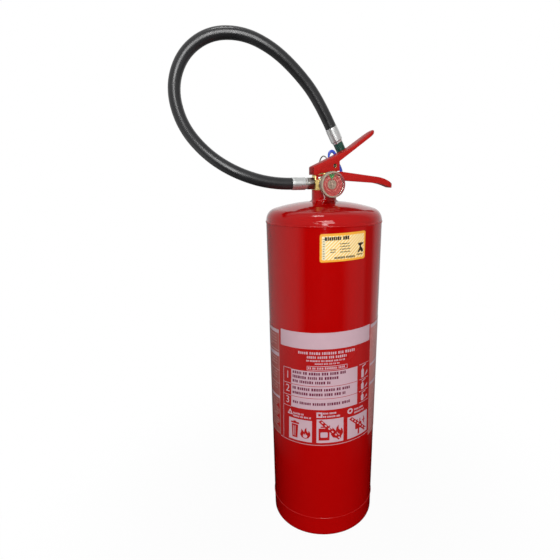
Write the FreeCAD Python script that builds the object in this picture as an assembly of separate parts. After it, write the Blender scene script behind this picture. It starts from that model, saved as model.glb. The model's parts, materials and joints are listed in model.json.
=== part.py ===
import FreeCAD, Part
import math
import os

# Stored-pressure water extinguisher with a squeeze-grip valve, millimetres, +Z up.
# Origin: centre of the foot circle, on the floor. +X: the way the handles point.
# -Y: the gauge. -X: the hose outlet.

V = FreeCAD.Vector
ORIGIN = V(0, 0, 0)
AXIS_X = V(1, 0, 0)
AXIS_Y = V(0, 1, 0)
AXIS_Z = V(0, 0, 1)

# ---------------------------------------------------------------- vessel sizes
body_diameter = 180.0
wall = 1.6
base_seam_z = 38.5          # weld between bottom cap and tube
foot_corner = 9.0           # outer corner radius of the bottom cap
foot_width = 7.0            # flat ring that stands on the floor
base_dish_rise = 16.0       # how far the bottom is pressed in at its middle
top_seam_z = 532.0          # weld between tube and top dome
rim_height = 2.0            # straight rim of the dome above its seam
knuckle_radius = 18.0
dome_rise = 28.5
bead_height = 3.2           # weld beads round the tube
bead_proud = 0.5
skin_gap = 0.25             # between the tube and what is laid on its skin

neck_diameter = 38.0
neck_rise = 16.0            # neck above the top of the dome
neck_bore = 30.0            # thread size of the valve's spigot
neck_depth = 4.0            # neck tube below the dome's skin
neck_weld_leg = 2.2

# ----------------------------------------------------------------- valve sizes
fit = 0.05                  # radial play of fixed fits
running = 0.15              # radial play of moving fits
flange_inset = 0.7          # valve's flange inside the neck's edge
flange_height = 2.6
flange_clearance = 0.3      # air over the flange
block_length = 34.0         # along X
block_height = 14.8
block_chamfer = 3.0
handle_seat_x = 27.0        # lug on the block that carries the handle's screws
handle_seat_half_width = 9.0
handle_seat_height = 8.0
spigot_length = 25.0
chamber_diameter = 16.0
seat_rise = 1.0             # valve seat above the neck's top face
throat_diameter = 9.0
outlet_thread = 12.0
outlet_depth = 8.0
outlet_bore = 8.0
nut_clearance = 0.9         # air between the hose nut and the neck
gauge_thread = 8.0
gauge_hole_depth = 3.5
pressure_hole = 3.0
passage_wall = 1.3          # between the chamber and the gauge's passage
tower_height = 13.5
gland_pocket = 10.0
gland_pocket_depth = 7.0
gland_height = 6.2
gland_rim_width = 1.0
gland_rim_height = 1.5
guide_length = 5.0          # close bore for the stem, under the gland
stem_diameter = 6.0
poppet_gap = 1.4            # water's way round the poppet
poppet_height = 6.5
washer_height = 1.5
stem_foot_diameter = 5.0
stem_foot_length = 8.0
spring_wire = 1.2
spring_turns = 5.0
spring_inset = 1.3          # spring's centre line inside the poppet's edge
oring_wire = 1.6
oring_squeeze = 0.85        # height of the pressed O-ring against its wire
oring_shoulder = 0.3        # O-ring's groove outside the neck's bore

# ------------------------------------------------------- dip tube and strainer
dip_tube_diameter = 16.0
dip_tube_wall = 2.0
adapter_flange = 22.0
adapter_flange_height = 4.0
adapter_plug_height = 3.5
adapter_barb_length = 24.0
adapter_wall = 1.5
passage_notch_play = 0.5
strainer_diameter = 20.0
strainer_height = 24.0
strainer_floor = 2.0
strainer_gap = 5.0          # strainer above the pressed-in bottom
strainer_slots = 8
slot_width = 2.0
slot_margin = 1.0           # slot's ends inside the strainer's hollow

# --------------------------------------------------------- lever and handle
sheet = 2.0
bend_flat = 0.1             # sheet left square inside its rounded bends
lever_width = 25.0
lever_left = -20.0
lever_left_top = 18.6       # the lever's heights are above the valve block
lever_bend_x = 35.7
lever_bend_top = 43.6
lever_tip_x = 80.0
lever_tip_top = 73.4
arm_depth_root = 5.8
arm_depth_tip = 4.6
arm_tip_cut = 3.0           # lower corner cut off the arm's end
cheek_right = 20.5
cheek_bottom_right = 12.6
cheek_bottom_left = 7.0
cheek_notch_left = -14.0
cheek_notch_right = -10.5
cheek_notch_rise = 2.7
squeeze_degrees = 12.0

pivot_x = -11.5
pivot_diameter = 5.0
pivot_head_diameter = 8.5
pivot_head_height = 0.4
lug_wall = 1.6              # round the pivot
lug_clearance = 0.5         # air between the lug and the lever's web
lug_side_gap = 0.3          # lug inside the handle's flanges
spacer_play = 0.35
ear_gap = 0.6               # air between the lug's low ear and the lever's end
ear_root = 2.0              # ear's depth into the block
bracket_gap = 0.5           # air between the lever and the clip's bracket

handle_side_gap = 0.5       # handle inside the lever's cheeks
tower_side_gap = 0.5        # valve tower inside the handle's flanges
handle_left = -15.5
handle_left_height = 6.7    # flange heights are over the valve block's top
handle_peak_x = 24.0
handle_peak_height = 11.6
handle_dip_x = 38.0         # where the web reaches its dip beyond the valve
handle_dip_drop = 2.4
handle_knee_x = 85.0
handle_knee_height = 9.5    # over the web's underside
handle_knee_drop = 5.9
handle_tip_x = 114.5
handle_tip_height = 6.6
handle_nose = 4.5           # round nose beyond the underside's end
handle_nose_lean = 1.2      # its top's end further out than the underside's
handle_tip_drop = 13.2
handle_curve = 0.9          # how far the drooping end bows above its chord
handle_screw_diameter = 3.0
handle_screw_depth = 6.5
handle_screw_head = 5.4
handle_screw_head_height = 1.8
handle_screw_spread = 8.0
screw_end_gap = 0.5         # screw hole beyond the screw's end

# ------------------------------------------------------ pin, ring and seal
pin_diameter = 6.0
pin_x = 13.4
pin_height = 19.9           # above the valve block
pin_boss_wall = 1.6
pin_tip_inset = 0.5
pin_collar_diameter = 9.0
pin_collar_height = 1.2
eye_diameter = 10.4
eye_hole = 6.0
eye_thickness = 2.4
eye_standoff = 3.3          # middle of the pin's eye behind the clip's bracket
eye_share = 1.4             # ring and seal lie side by side in the eye
ring_diameter = 30.0
ring_wire = 2.0
ring_degrees = 82.0         # how far the ring stands out from the lever's back
seal_wire = 2.4

# --------------------------------------------------------------- gauge sizes
gauge_diameter = 37.2
gauge_neck_length = 12.0    # stem between its washer and the case
gauge_wall = 1.2
movement_depth = 5.7        # room for the curled tube behind the dial
dial_recess = 7.5           # dial behind the rim's front
bezel_height = 8.0
bezel_wall = 1.4
bezel_lip = 2.4
bezel_front = 1.2
lens_thickness = 1.4
lens_bulge = 1.6
lens_seat_gap = 0.35        # between the lens and the case's edge
dial_thickness = 0.6
hub_plate_diameter = 13.4
hub_plate_thickness = 0.4
needle_gap = 0.5            # needle over the hub plate
needle_length = 11.5
needle_tail = 5.5
needle_tail_width = 2.2
needle_width = 1.6
needle_tip_width = 0.5
needle_thickness = 0.5
needle_hub_diameter = 5.0
needle_hub_proud = 0.5
needle_fit = 0.02
spindle_diameter = 1.6
spindle_gap = 0.3           # round the spindle, in the dial and its plate
spindle_end_gap = 0.5
bearing_length = 3.0
bourdon_diameter = 22.0
bourdon_wire = 3.0
bourdon_degrees = 250.0
gauge_hex = 11.0
gauge_bore = 2.4
gauge_bore_into_post = 2.0
gauge_thread_end_gap = 0.3
gauge_washer_height = 1.0
gauge_washer_lip = 0.25
gauge_post_diameter = 8.0
post_gap = 1.0              # post's end behind the dial

# -------------------------------------------------------- hose and its ends
hose_diameter = 17.4
hose_bore = 10.0
nut_hex = 17.0
nut_length = 10.0
nut_round = 0.5             # how far the nut's corners are turned off
ferrule_gap = 0.3           # between the nut and the ferrule
ferrule_diameter = 18.6
ferrule_length = 24.3
crimp_floor = 1.9           # ferrule's closed end, against the hose
crimp_round = 0.8
barb_diameter = 10.0
barb_gap = 0.3
tail_bore = 7.0
tail_end_gap = 0.5
nozzle_diameter = 15.0
nozzle_tip_diameter = 13.5
nozzle_barrel_length = 17.5
nozzle_cone_length = 2.0
nozzle_bore = 6.0
nozzle_gap = 0.1            # between the ferrule and the nozzle
clip_wall = 1.2
clip_length = 5.0
clip_mouth_degrees = 110.0
clip_standoff = 1.55        # clip's back from its bracket
clip_pad_diameter = 5.8
bracket_thickness = 1.2
bracket_left = 0.5
bracket_right = 8.5
bracket_arm_width = 6.6
bracket_arm_drop = 0.7      # arm below the lever's top line
bracket_corner = 3.0
bracket_tip_corner = 1.0
bracket_end_x = 40.5
bracket_screw_diameter = 3.0
bracket_screw_depth = 4.0
bracket_screw_head = 5.4
bracket_screw_head_height = 1.6
bracket_screw_pitch = 6.0
bracket_screw_gap = 0.6     # lower head over the flange

# --------------------------------------------------------------- labels
label_thickness = 0.2
front_label_degrees = (-68.0, 36.0)     # degrees round from -Y towards +X
left_label_degrees = (-132.0, -73.0)
right_label_degrees = (41.0, 100.0)
label_bottom_z = 185.5
front_label_height = 192.0
side_label_height = 206.0
sticker_degrees = (-24.0, 21.5)
sticker_drop = 8.0          # sticker's top under the upper seam
sticker_height = 40.5

# ---------------------------------------------------------------- worked out
body_radius = body_diameter / 2
neck_radius = neck_diameter / 2
shoulder_z = top_seam_z + rim_height
lift = dome_rise - knuckle_radius
knuckle_x = body_radius - knuckle_radius
crown_drop = (knuckle_x ** 2 - lift ** 2) / (2 * lift)
crown_radius = dome_rise + crown_drop
crown_centre_z = shoulder_z - crown_drop
base_dish_edge = body_radius - foot_corner - foot_width
base_dish_radius = (base_dish_edge ** 2 + base_dish_rise ** 2) / (2 * base_dish_rise)
sticker_top_z = top_seam_z - sticker_drop

neck_top_z = shoulder_z + dome_rise + neck_rise
block_top_z = neck_top_z + block_height
tower_top_z = block_top_z + tower_height
seat_z = neck_top_z + seat_rise
spigot_bottom_z = neck_top_z - spigot_length
outlet_z = neck_top_z + nut_clearance + nut_hex / 2
gauge_z = neck_top_z + flange_height + flange_clearance + gauge_hex / 2
outlet_x = -block_length / 2
flange_radius = neck_radius - flange_inset
poppet_diameter = chamber_diameter - 2 * poppet_gap
spring_diameter = poppet_diameter - 2 * spring_inset
oring_diameter = neck_bore + 2 * oring_shoulder + oring_wire
oring_height = oring_wire * oring_squeeze
passage_y = -(chamber_diameter / 2 + passage_wall + pressure_hole / 2)
adapter_shelf_z = spigot_bottom_z + adapter_plug_height
strainer_bottom_z = base_dish_rise + wall + strainer_gap

half_lever = lever_width / 2
half_handle = half_lever - sheet - handle_side_gap
half_block = half_lever + bracket_gap
lug_half_width = half_handle - sheet - lug_side_gap
tower_radius = half_handle - sheet - tower_side_gap
lug_radius = pivot_diameter / 2 + lug_wall
lever_slope = (lever_bend_top - lever_left_top) / (lever_bend_x - lever_left)
lever_tilt = math.atan(lever_slope)
arm_slope = (lever_tip_top - lever_bend_top) / (lever_tip_x - lever_bend_x)
pivot_top_z = block_top_z + lever_left_top + lever_slope * (pivot_x - lever_left)
pivot_z = pivot_top_z - (sheet + lug_clearance + lug_radius) / math.cos(lever_tilt)

pin_z = block_top_z + pin_height
pin_boss_half = pin_diameter / 2 + pin_boss_wall
bracket_back_y = half_block + bracket_thickness
eye_y = bracket_back_y + eye_standoff
seal_y = eye_y - eye_share
ring_y = eye_y + eye_share

case_radius = gauge_diameter / 2 - bezel_wall
gauge_back_y = -half_block - gauge_washer_height - gauge_neck_length
dial_back_y = gauge_back_y - gauge_wall - movement_depth
dial_front_y = dial_back_y - dial_thickness
gauge_front_y = dial_front_y - dial_recess
needle_back_y = dial_front_y - hub_plate_thickness - needle_gap
post_end_y = dial_back_y + post_gap

nut_left = outlet_x - nut_length
ferrule_right = nut_left - ferrule_gap
ferrule_left = ferrule_right - ferrule_length
clip_radius = nozzle_diameter / 2 + fit
nozzle_y = bracket_back_y + clip_standoff + clip_wall + clip_radius
beyond = 150.0              # cuts that pass right through start and end this far off

# The hose's route from its inlet ferrule, over the top and down to the nozzle's ferrule.
hose_route = [V(ferrule_left, 0, outlet_z)]
for x, y, rise in [
    (-82, 0, 0),
    (-133, 2, 15),
    (-173, 14, 41),
    (-202, 33, 80),
    (-210.5, 45, 129),
    (-193, 46.5, 172.5),
    (-156, 40, 199),
    (-110.5, 31, 201),
    (-69, nozzle_y, 183.5),
    (-31.5, nozzle_y, 154),
    (-0.5, nozzle_y, 119),
    (19.8, nozzle_y, 81),
]:
    hose_route.append(V(x, y, outlet_z + rise))
nozzle_way = (hose_route[-1] - hose_route[-2]).normalize()


# ------------------------------------------------------------------- helpers
def revolve(edges, axis=AXIS_Z, base=ORIGIN, degrees=360.0):
    """Turn a closed outline of edges round an axis."""
    wire = Part.Wire(Part.sortEdges(edges)[0])
    return Part.Face(wire).revolve(base, axis, degrees)


def line(start, end):
    return Part.makeLine(start, end)


def half_point(radius, z):
    return V(radius, 0, z)


def arc(centre_x, centre_z, radius, start, end):
    """Arc in the XZ plane, angles in degrees from +X towards +Z."""
    points = []
    for angle in (start, (start + end) / 2, end):
        turn = math.radians(angle)
        points.append(V(centre_x + radius * math.cos(turn), 0, centre_z + radius * math.sin(turn)))
    return Part.Arc(*points).toShape()


def polygon_revolve(points, axis=AXIS_Z):
    """Turn a closed polygon of (radius, height) about the Z axis."""
    corners = [half_point(*p) for p in points]
    wire = Part.makePolygon(corners + corners[:1])
    return Part.Face(wire).revolve(ORIGIN, axis, 360)


def rod(start, way, radius, length):
    return Part.makeCylinder(radius, length, start, way)


def tube(start, way, inner, outer, length):
    return rod(start, way, outer, length).cut(rod(start, way, inner, length))


def side_plate(points, y_low, y_high):
    """Polygon of (x, z) in the XZ plane, thick along Y."""
    corners = [V(x, y_low, z) for x, z in points]
    wire = Part.makePolygon(corners + corners[:1])
    return Part.Face(wire).extrude(V(0, y_high - y_low, 0))


def side_profile(start, pieces, y_low, y_high):
    """Outline in the XZ plane, thick along Y. A piece is a line's end or an arc's middle and end."""
    edges = []
    last = V(start[0], y_low, start[1])
    for piece in pieces + [start]:
        end = V(piece[-2], y_low, piece[-1])
        if len(piece) == 4:
            edges.append(Part.Arc(last, V(piece[0], y_low, piece[1]), end).toShape())
        else:
            edges.append(line(last, end))
        last = end
    return Part.Face(Part.Wire(edges)).extrude(V(0, y_high - y_low, 0))


def box(x_low, x_high, y_low, y_high, z_low, z_high):
    return Part.makeBox(x_high - x_low, y_high - y_low, z_high - z_low, V(x_low, y_low, z_low))


def hexagon(start, way, across_flats, length):
    """Hexagonal bar along X or Y."""
    corner = across_flats / math.sqrt(3)
    across = AXIS_Y if abs(way.x) > 0.5 else AXIS_X
    corners = []
    for step in range(6):
        turn = math.radians(60 * step)
        corners.append(start + across * (corner * math.cos(turn)) + AXIS_Z * (corner * math.sin(turn)))
    return Part.Face(Part.makePolygon(corners + corners[:1])).extrude(way * length)


def torus(centre, way, ring_radius, wire_radius):
    return Part.makeTorus(ring_radius, wire_radius, centre, way)


def crown_z(radius, inset=0.0):
    """Height of the dome's skin at a distance from the axis."""
    return crown_centre_z + math.sqrt((crown_radius - inset) ** 2 - radius ** 2)


def rounded_path(points, share=0.48):
    """Straight runs joined by tangent arcs, each as large as its two runs allow."""
    edges = []
    radii = []
    last = points[0]
    for before, corner, after in zip(points, points[1:], points[2:]):
        back = (before - corner).normalize()
        ahead = (after - corner).normalize()
        reach = share * min((before - corner).Length, (after - corner).Length)
        turn = math.pi - back.getAngle(ahead)
        radius = reach / math.tan(turn / 2)
        start = corner + back * reach
        end = corner + ahead * reach
        bisector = (back + ahead).normalize()
        middle = corner + bisector * (radius / math.cos(turn / 2) - radius)
        edges.append(Part.LineSegment(last, start).toShape())
        edges.append(Part.Arc(start, middle, end).toShape())
        radii.append(radius)
        last = end
    edges.append(Part.LineSegment(last, points[-1]).toShape())
    return Part.Wire(edges), radii


def sweep(wire, start, way, radius):
    section = Part.Wire(Part.makeCircle(radius, start, way))
    return wire.makePipeShell([section], True, True)


def curved_sheet(degrees, z_low, z_high):
    """Thin sheet wrapped on the tube, between two angles counted from -Y towards +X."""
    inner = body_radius + skin_gap
    sheet_ring = tube(V(0, 0, z_low), AXIS_Z, inner, inner + label_thickness, z_high - z_low)
    low, high = [math.radians(angle - 90) for angle in degrees]
    middle = (low + high) / 2
    reach = 3 * body_radius
    fan = [ORIGIN]
    for turn in (low, middle, high):
        fan.append(V(reach * math.cos(turn), reach * math.sin(turn), 0))
    wedge = Part.Face(Part.makePolygon(fan + fan[:1])).extrude(V(0, 0, z_high))
    return sheet_ring.common(wedge)


# -------------------------------------------------------------------- vessel
def body_shell():
    height = top_seam_z - base_seam_z
    return tube(V(0, 0, base_seam_z), AXIS_Z, body_radius - wall, body_radius, height)


def head_edges(inset, hole_radius):
    """Half section of the dished head's skin from its seam to the neck hole."""
    tilt = math.degrees(math.atan2(crown_drop, knuckle_x))
    end = math.degrees(math.acos(hole_radius / (crown_radius - inset)))
    rim = body_radius - inset
    return [
        line(half_point(rim, top_seam_z), half_point(rim, shoulder_z)),
        arc(knuckle_x, shoulder_z, knuckle_radius - inset, 0, tilt),
        arc(0, crown_centre_z, crown_radius - inset, tilt, end),
    ]


def top_dome():
    hole = neck_radius + fit
    edges = head_edges(0, hole) + head_edges(wall, hole)
    edges.append(line(half_point(body_radius, top_seam_z), half_point(body_radius - wall, top_seam_z)))
    edges.append(line(half_point(hole, crown_z(hole)), half_point(hole, crown_z(hole, wall))))
    return revolve(edges)


def cap_edges(inset):
    """Half section of the bottom cap's skin: side, foot corner, foot ring and pressed-in dish."""
    side = body_radius - inset
    corner_x = body_radius - foot_corner
    radius = base_dish_radius + inset
    centre_z = base_dish_rise - base_dish_radius
    edge_x = math.sqrt(radius ** 2 - (inset - centre_z) ** 2)
    start = math.degrees(math.atan2(inset - centre_z, edge_x))
    return [
        line(half_point(side, base_seam_z), half_point(side, foot_corner)),
        arc(corner_x, foot_corner, foot_corner - inset, 0, -90),
        line(half_point(corner_x, inset), half_point(edge_x, inset)),
        arc(0, centre_z, radius, start, 90),
    ]


def bottom_cap():
    edges = cap_edges(0) + cap_edges(wall)
    edges.append(line(half_point(body_radius, base_seam_z), half_point(body_radius - wall, base_seam_z)))
    edges.append(line(half_point(0, base_dish_rise), half_point(0, base_dish_rise + wall)))
    return revolve(edges)


def weld_bead(seam_z):
    half = bead_height / 2
    inner = body_radius + skin_gap
    outer = body_radius + bead_proud
    return polygon_revolve([
        (inner, seam_z - half),
        (outer, seam_z - half / 2),
        (outer, seam_z + half / 2),
        (inner, seam_z + half),
    ])


def neck_collar():
    bottom = crown_z(neck_radius) - neck_depth
    return tube(V(0, 0, bottom), AXIS_Z, neck_bore / 2 + fit, neck_radius, neck_top_z - bottom)


def neck_weld():
    inner = neck_radius + fit
    outer = inner + neck_weld_leg
    return polygon_revolve([
        (inner, crown_z(inner) + fit),
        (outer, crown_z(outer) + fit),
        (inner, crown_z(inner) + neck_weld_leg),
    ])


# --------------------------------------------------------------------- valve
def valve_body():
    half_length = block_length / 2
    half = half_block
    cut = block_chamfer
    outline = [
        V(-half_length, -half + cut, neck_top_z), V(-half_length + cut, -half, neck_top_z),
        V(half_length - cut, -half, neck_top_z), V(half_length, -half + cut, neck_top_z),
        V(half_length, half - cut, neck_top_z), V(half_length - cut, half, neck_top_z),
        V(-half_length + cut, half, neck_top_z), V(-half_length, half - cut, neck_top_z),
    ]
    body = Part.Face(Part.makePolygon(outline + outline[:1])).extrude(V(0, 0, block_height))
    flange = rod(V(0, 0, neck_top_z), AXIS_Z, flange_radius, flange_height)
    past_outlet = box(outlet_x - beyond, outlet_x, -beyond, beyond, neck_top_z, block_top_z)
    body = body.fuse(flange.cut(past_outlet))
    seat_low = block_top_z - handle_seat_height
    seat_half = handle_seat_half_width
    body = body.fuse(box(0, handle_seat_x, -seat_half, seat_half, seat_low, block_top_z))
    body = body.fuse(rod(V(0, 0, spigot_bottom_z), AXIS_Z, neck_bore / 2, spigot_length))
    body = body.fuse(rod(V(0, 0, block_top_z), AXIS_Z, tower_radius, tower_height))
    body = body.fuse(hinge_lug())
    body = body.fuse(pin_boss())
    for cavity in valve_cavities():
        body = body.cut(cavity)
    return body.removeSplitter()


def hinge_lug():
    """Lug for the lever's pivot, with a low ear under the lever's end."""
    half = lug_half_width
    ear_top_z = block_top_z + cheek_bottom_left - ear_gap
    lug = box(pivot_x - lug_radius, pivot_x + lug_radius, -half, half, block_top_z, pivot_z)
    lug = lug.fuse(rod(V(pivot_x, -half, pivot_z), AXIS_Y, lug_radius, 2 * half))
    lug = lug.fuse(box(outlet_x, pivot_x, -half, half, block_top_z - ear_root, ear_top_z))
    hole = rod(V(pivot_x, -half, pivot_z), AXIS_Y, pivot_diameter / 2 + fit, 2 * half)
    return lug.cut(hole)


def pin_boss():
    half = tower_radius
    base = box(pin_x - pin_boss_half, pin_x + pin_boss_half, -half, half, block_top_z, pin_z)
    return base.fuse(rod(V(pin_x, -half, pin_z), AXIS_Y, pin_boss_half, 2 * half))


def valve_cavities():
    gland_floor = tower_top_z - gland_pocket_depth
    guide_z = gland_floor - guide_length
    groove_inner = (oring_diameter - oring_wire) / 2 - fit
    groove_outer = (oring_diameter + oring_wire) / 2 + fit
    return [
        rod(V(0, 0, spigot_bottom_z), AXIS_Z, chamber_diameter / 2, seat_z - spigot_bottom_z),
        rod(V(0, 0, seat_z), AXIS_Z, throat_diameter / 2, guide_z - seat_z),
        rod(V(0, 0, guide_z), AXIS_Z, stem_diameter / 2 + running, guide_length),
        rod(V(0, 0, gland_floor), AXIS_Z, gland_pocket / 2, gland_pocket_depth),
        rod(V(outlet_x, 0, outlet_z), AXIS_X, outlet_thread / 2 + fit, outlet_depth),
        rod(V(outlet_x, 0, outlet_z), AXIS_X, outlet_bore / 2, -outlet_x),
        rod(V(0, -half_block, gauge_z), AXIS_Y, gauge_thread / 2 + fit, gauge_hole_depth),
        rod(V(0, passage_y, spigot_bottom_z), AXIS_Z, pressure_hole / 2, gauge_z - spigot_bottom_z),
        rod(V(pin_x, -half_block, pin_z), AXIS_Y, pin_diameter / 2 + running, 2 * half_block),
        tube(V(0, 0, neck_top_z), AXIS_Z, groove_inner, groove_outer, oring_height),
        *screw_holes(),
    ]


def screw_holes():
    holes = []
    depth = handle_screw_depth + screw_end_gap
    for place in handle_screw_places():
        holes.append(rod(place - AXIS_Z * depth, AXIS_Z, handle_screw_diameter / 2 + fit, depth))
    depth = bracket_screw_depth + screw_end_gap
    for place in bracket_screw_places():
        holes.append(rod(place - AXIS_Y * depth, AXIS_Y, bracket_screw_diameter / 2 + fit, depth))
    return holes


def neck_o_ring():
    centre = V(0, 0, neck_top_z + oring_height / 2)
    return torus(centre, AXIS_Z, oring_diameter / 2, oring_height / 2)


def stem_gland():
    bottom = tower_top_z - gland_height
    sleeve = tube(V(0, 0, bottom), AXIS_Z, stem_diameter / 2 + running, gland_pocket / 2 - fit, gland_height)
    rim_radius = gland_pocket / 2 + gland_rim_width
    rim = tube(V(0, 0, tower_top_z), AXIS_Z, stem_diameter / 2 + running, rim_radius, gland_rim_height)
    return sleeve.fuse(rim).removeSplitter()


def stem_o_ring():
    room = gland_pocket_depth - gland_height
    inner = stem_diameter / 2 + running
    outer = gland_pocket / 2 - fit
    return tube(V(0, 0, tower_top_z - gland_pocket_depth), AXIS_Z, inner, outer, room - fit)


def lever_top(x):
    """Height of the cheek part's top line."""
    return block_top_z + lever_left_top + lever_slope * (x - lever_left)


def stem_top_z():
    """Top of the stem's round end, a small gap under the lever's web."""
    radius = stem_diameter / 2
    under = lever_top(0) - sheet / math.cos(lever_tilt)
    centre = under - (radius + 2 * running) / math.cos(lever_tilt)
    return centre + radius


def valve_stem():
    radius = stem_diameter / 2
    top = stem_top_z()
    poppet_top = seat_z - washer_height
    poppet_bottom = poppet_top - poppet_height
    shaft = rod(V(0, 0, poppet_top), AXIS_Z, radius, top - radius - poppet_top)
    shaft = shaft.fuse(Part.makeSphere(radius, V(0, 0, top - radius)))
    shaft = shaft.fuse(rod(V(0, 0, poppet_bottom), AXIS_Z, poppet_diameter / 2, poppet_height))
    foot = rod(V(0, 0, poppet_bottom - stem_foot_length), AXIS_Z, stem_foot_diameter / 2, stem_foot_length)
    return shaft.fuse(foot).removeSplitter()


def seat_washer():
    bottom = seat_z - washer_height
    return tube(V(0, 0, bottom), AXIS_Z, stem_diameter / 2 + fit, poppet_diameter / 2, washer_height)


def stem_spring():
    """Coil between the adapter's shelf and the poppet."""
    low = adapter_shelf_z + spring_wire / 2
    high = seat_z - washer_height - poppet_height - spring_wire / 2
    height = high - low
    helix = Part.makeHelix(height / spring_turns, height, spring_diameter / 2)
    helix.translate(V(0, 0, low))
    section = Part.Wire(Part.makeCircle(spring_wire / 2, V(spring_diameter / 2, 0, low), AXIS_Y))
    return Part.Wire(helix.Edges).makePipeShell([section], True, True)


def dip_tube_adapter():
    """Plug in the valve's chamber with a flange under the spigot and a barb for the dip tube."""
    flange_z = spigot_bottom_z - adapter_flange_height
    barb_z = flange_z - adapter_barb_length
    barb_radius = dip_tube_diameter / 2 - dip_tube_wall - fit
    plug = rod(V(0, 0, spigot_bottom_z), AXIS_Z, chamber_diameter / 2 - fit, adapter_plug_height)
    flange = rod(V(0, 0, flange_z), AXIS_Z, adapter_flange / 2, adapter_flange_height)
    barb = rod(V(0, 0, barb_z), AXIS_Z, barb_radius, adapter_barb_length)
    bore = rod(V(0, 0, barb_z), AXIS_Z, barb_radius - adapter_wall, adapter_shelf_z - barb_z)
    notch_radius = pressure_hole / 2 + passage_notch_play
    notch = rod(V(0, passage_y, flange_z), AXIS_Z, notch_radius, adapter_flange_height)
    return plug.fuse(flange).fuse(barb).cut(bore).cut(notch).removeSplitter()


def dip_tube():
    top = spigot_bottom_z - adapter_flange_height
    bottom = strainer_bottom_z + strainer_height / 2
    outer = dip_tube_diameter / 2
    return tube(V(0, 0, bottom), AXIS_Z, outer - dip_tube_wall, outer, top - bottom)


def inlet_strainer():
    """Slotted cup on the dip tube's end."""
    middle_z = strainer_bottom_z + strainer_height / 2
    floor_z = strainer_bottom_z + strainer_floor
    cup = rod(V(0, 0, strainer_bottom_z), AXIS_Z, strainer_diameter / 2, strainer_height)
    socket = rod(V(0, 0, middle_z), AXIS_Z, dip_tube_diameter / 2 + fit, strainer_height / 2)
    hollow = rod(V(0, 0, floor_z), AXIS_Z, dip_tube_diameter / 2 - dip_tube_wall, middle_z - floor_z)
    cup = cup.cut(socket).cut(hollow)
    for index in range(strainer_slots):
        half = slot_width / 2
        slot = box(0, strainer_diameter, -half, half, floor_z + slot_margin, middle_z - slot_margin)
        slot.rotate(ORIGIN, AXIS_Z, 360 * index / strainer_slots)
        cup = cup.cut(slot)
    return cup


# ---------------------------------------------------------- lever and handle
def plan_outline(x_low, x_high, half_width):
    """Tall straight strip, seen from above, with a round far end."""
    z_low = block_top_z - beyond
    corner = V(x_low, -half_width, z_low)
    start = V(x_high - half_width, -half_width, z_low)
    end = V(x_high - half_width, half_width, z_low)
    edges = [
        line(corner, start),
        Part.Arc(start, V(x_high, 0, z_low), end).toShape(),
        line(end, V(x_low, half_width, z_low)),
        line(V(x_low, half_width, z_low), corner),
    ]
    return Part.Face(Part.Wire(edges)).extrude(V(0, 0, 2 * beyond))


def lever_profile(inset):
    """Top line of the lever, seen from the side, moved inwards with its left wall."""
    drop_cheek = inset * math.sqrt(1 + lever_slope ** 2)
    drop_arm = inset * math.sqrt(1 + arm_slope ** 2)
    left = lever_left + inset
    bend_x = lever_bend_x + inset * math.tan((math.atan(arm_slope) - lever_tilt) / 2)
    bend_z = lever_top_line(lever_bend_x) + arm_slope * (bend_x - lever_bend_x) - drop_arm
    tip_z = block_top_z + lever_tip_top - drop_arm
    left_z = lever_top(left) - drop_cheek
    return left, left_z, bend_x, bend_z, tip_z


def lever_blank():
    left, left_z, bend_x, bend_z, tip_z = lever_profile(0)
    z = block_top_z
    stretch = math.sqrt(1 + arm_slope ** 2)
    inner_corner_z = bend_z - arm_slope * (bend_x - cheek_right) - arm_depth_root * stretch
    points = [
        (left, z + cheek_bottom_left),
        (left, left_z),
        (bend_x, bend_z),
        (lever_tip_x, tip_z),
        (lever_tip_x, tip_z - arm_depth_tip * stretch / 2),
        (lever_tip_x - arm_tip_cut, tip_z - arm_slope * arm_tip_cut - arm_depth_tip * stretch),
        (cheek_right, inner_corner_z),
        (cheek_right, z + cheek_bottom_right),
        (cheek_notch_right, z + cheek_bottom_left + cheek_notch_rise),
        (cheek_notch_left, z + cheek_bottom_left),
    ]
    blank = side_plate(points, -half_lever, half_lever)
    return blank.common(plan_outline(left, lever_tip_x, half_lever))


def lever_hollow():
    left, left_z, bend_x, bend_z, tip_z = lever_profile(sheet)
    low = block_top_z - beyond
    far = lever_tip_x + beyond
    points = [
        (left, low),
        (left, left_z),
        (bend_x, bend_z),
        (far, tip_z + arm_slope * (far - lever_tip_x)),
        (far, low),
    ]
    hollow = side_plate(points, -half_lever, half_lever)
    return hollow.common(plan_outline(left, lever_tip_x - sheet, half_lever - sheet))


def lever_top_line(x):
    """Height of the lever's top skin, on its cheek part or on its arm."""
    if x <= lever_bend_x:
        return lever_top(x)
    return lever_top(lever_bend_x) + arm_slope * (x - lever_bend_x)


def bent_edges(shape):
    """Edges on the lever's top skin along its sides, where the sheet is bent over."""
    touching = 0.02
    chosen = []
    for edge in shape.Edges:
        middle = edge.valueAt((edge.FirstParameter + edge.LastParameter) / 2)
        places = [vertex.Point for vertex in edge.Vertexes] + [middle]
        on_skin = all(abs(p.z - lever_top_line(p.x)) < touching for p in places)
        across_bend = abs(places[0].x - places[1].x) < touching and abs(middle.x - lever_bend_x) < touching
        if on_skin and not across_bend:
            chosen.append(edge)
    return chosen


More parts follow.
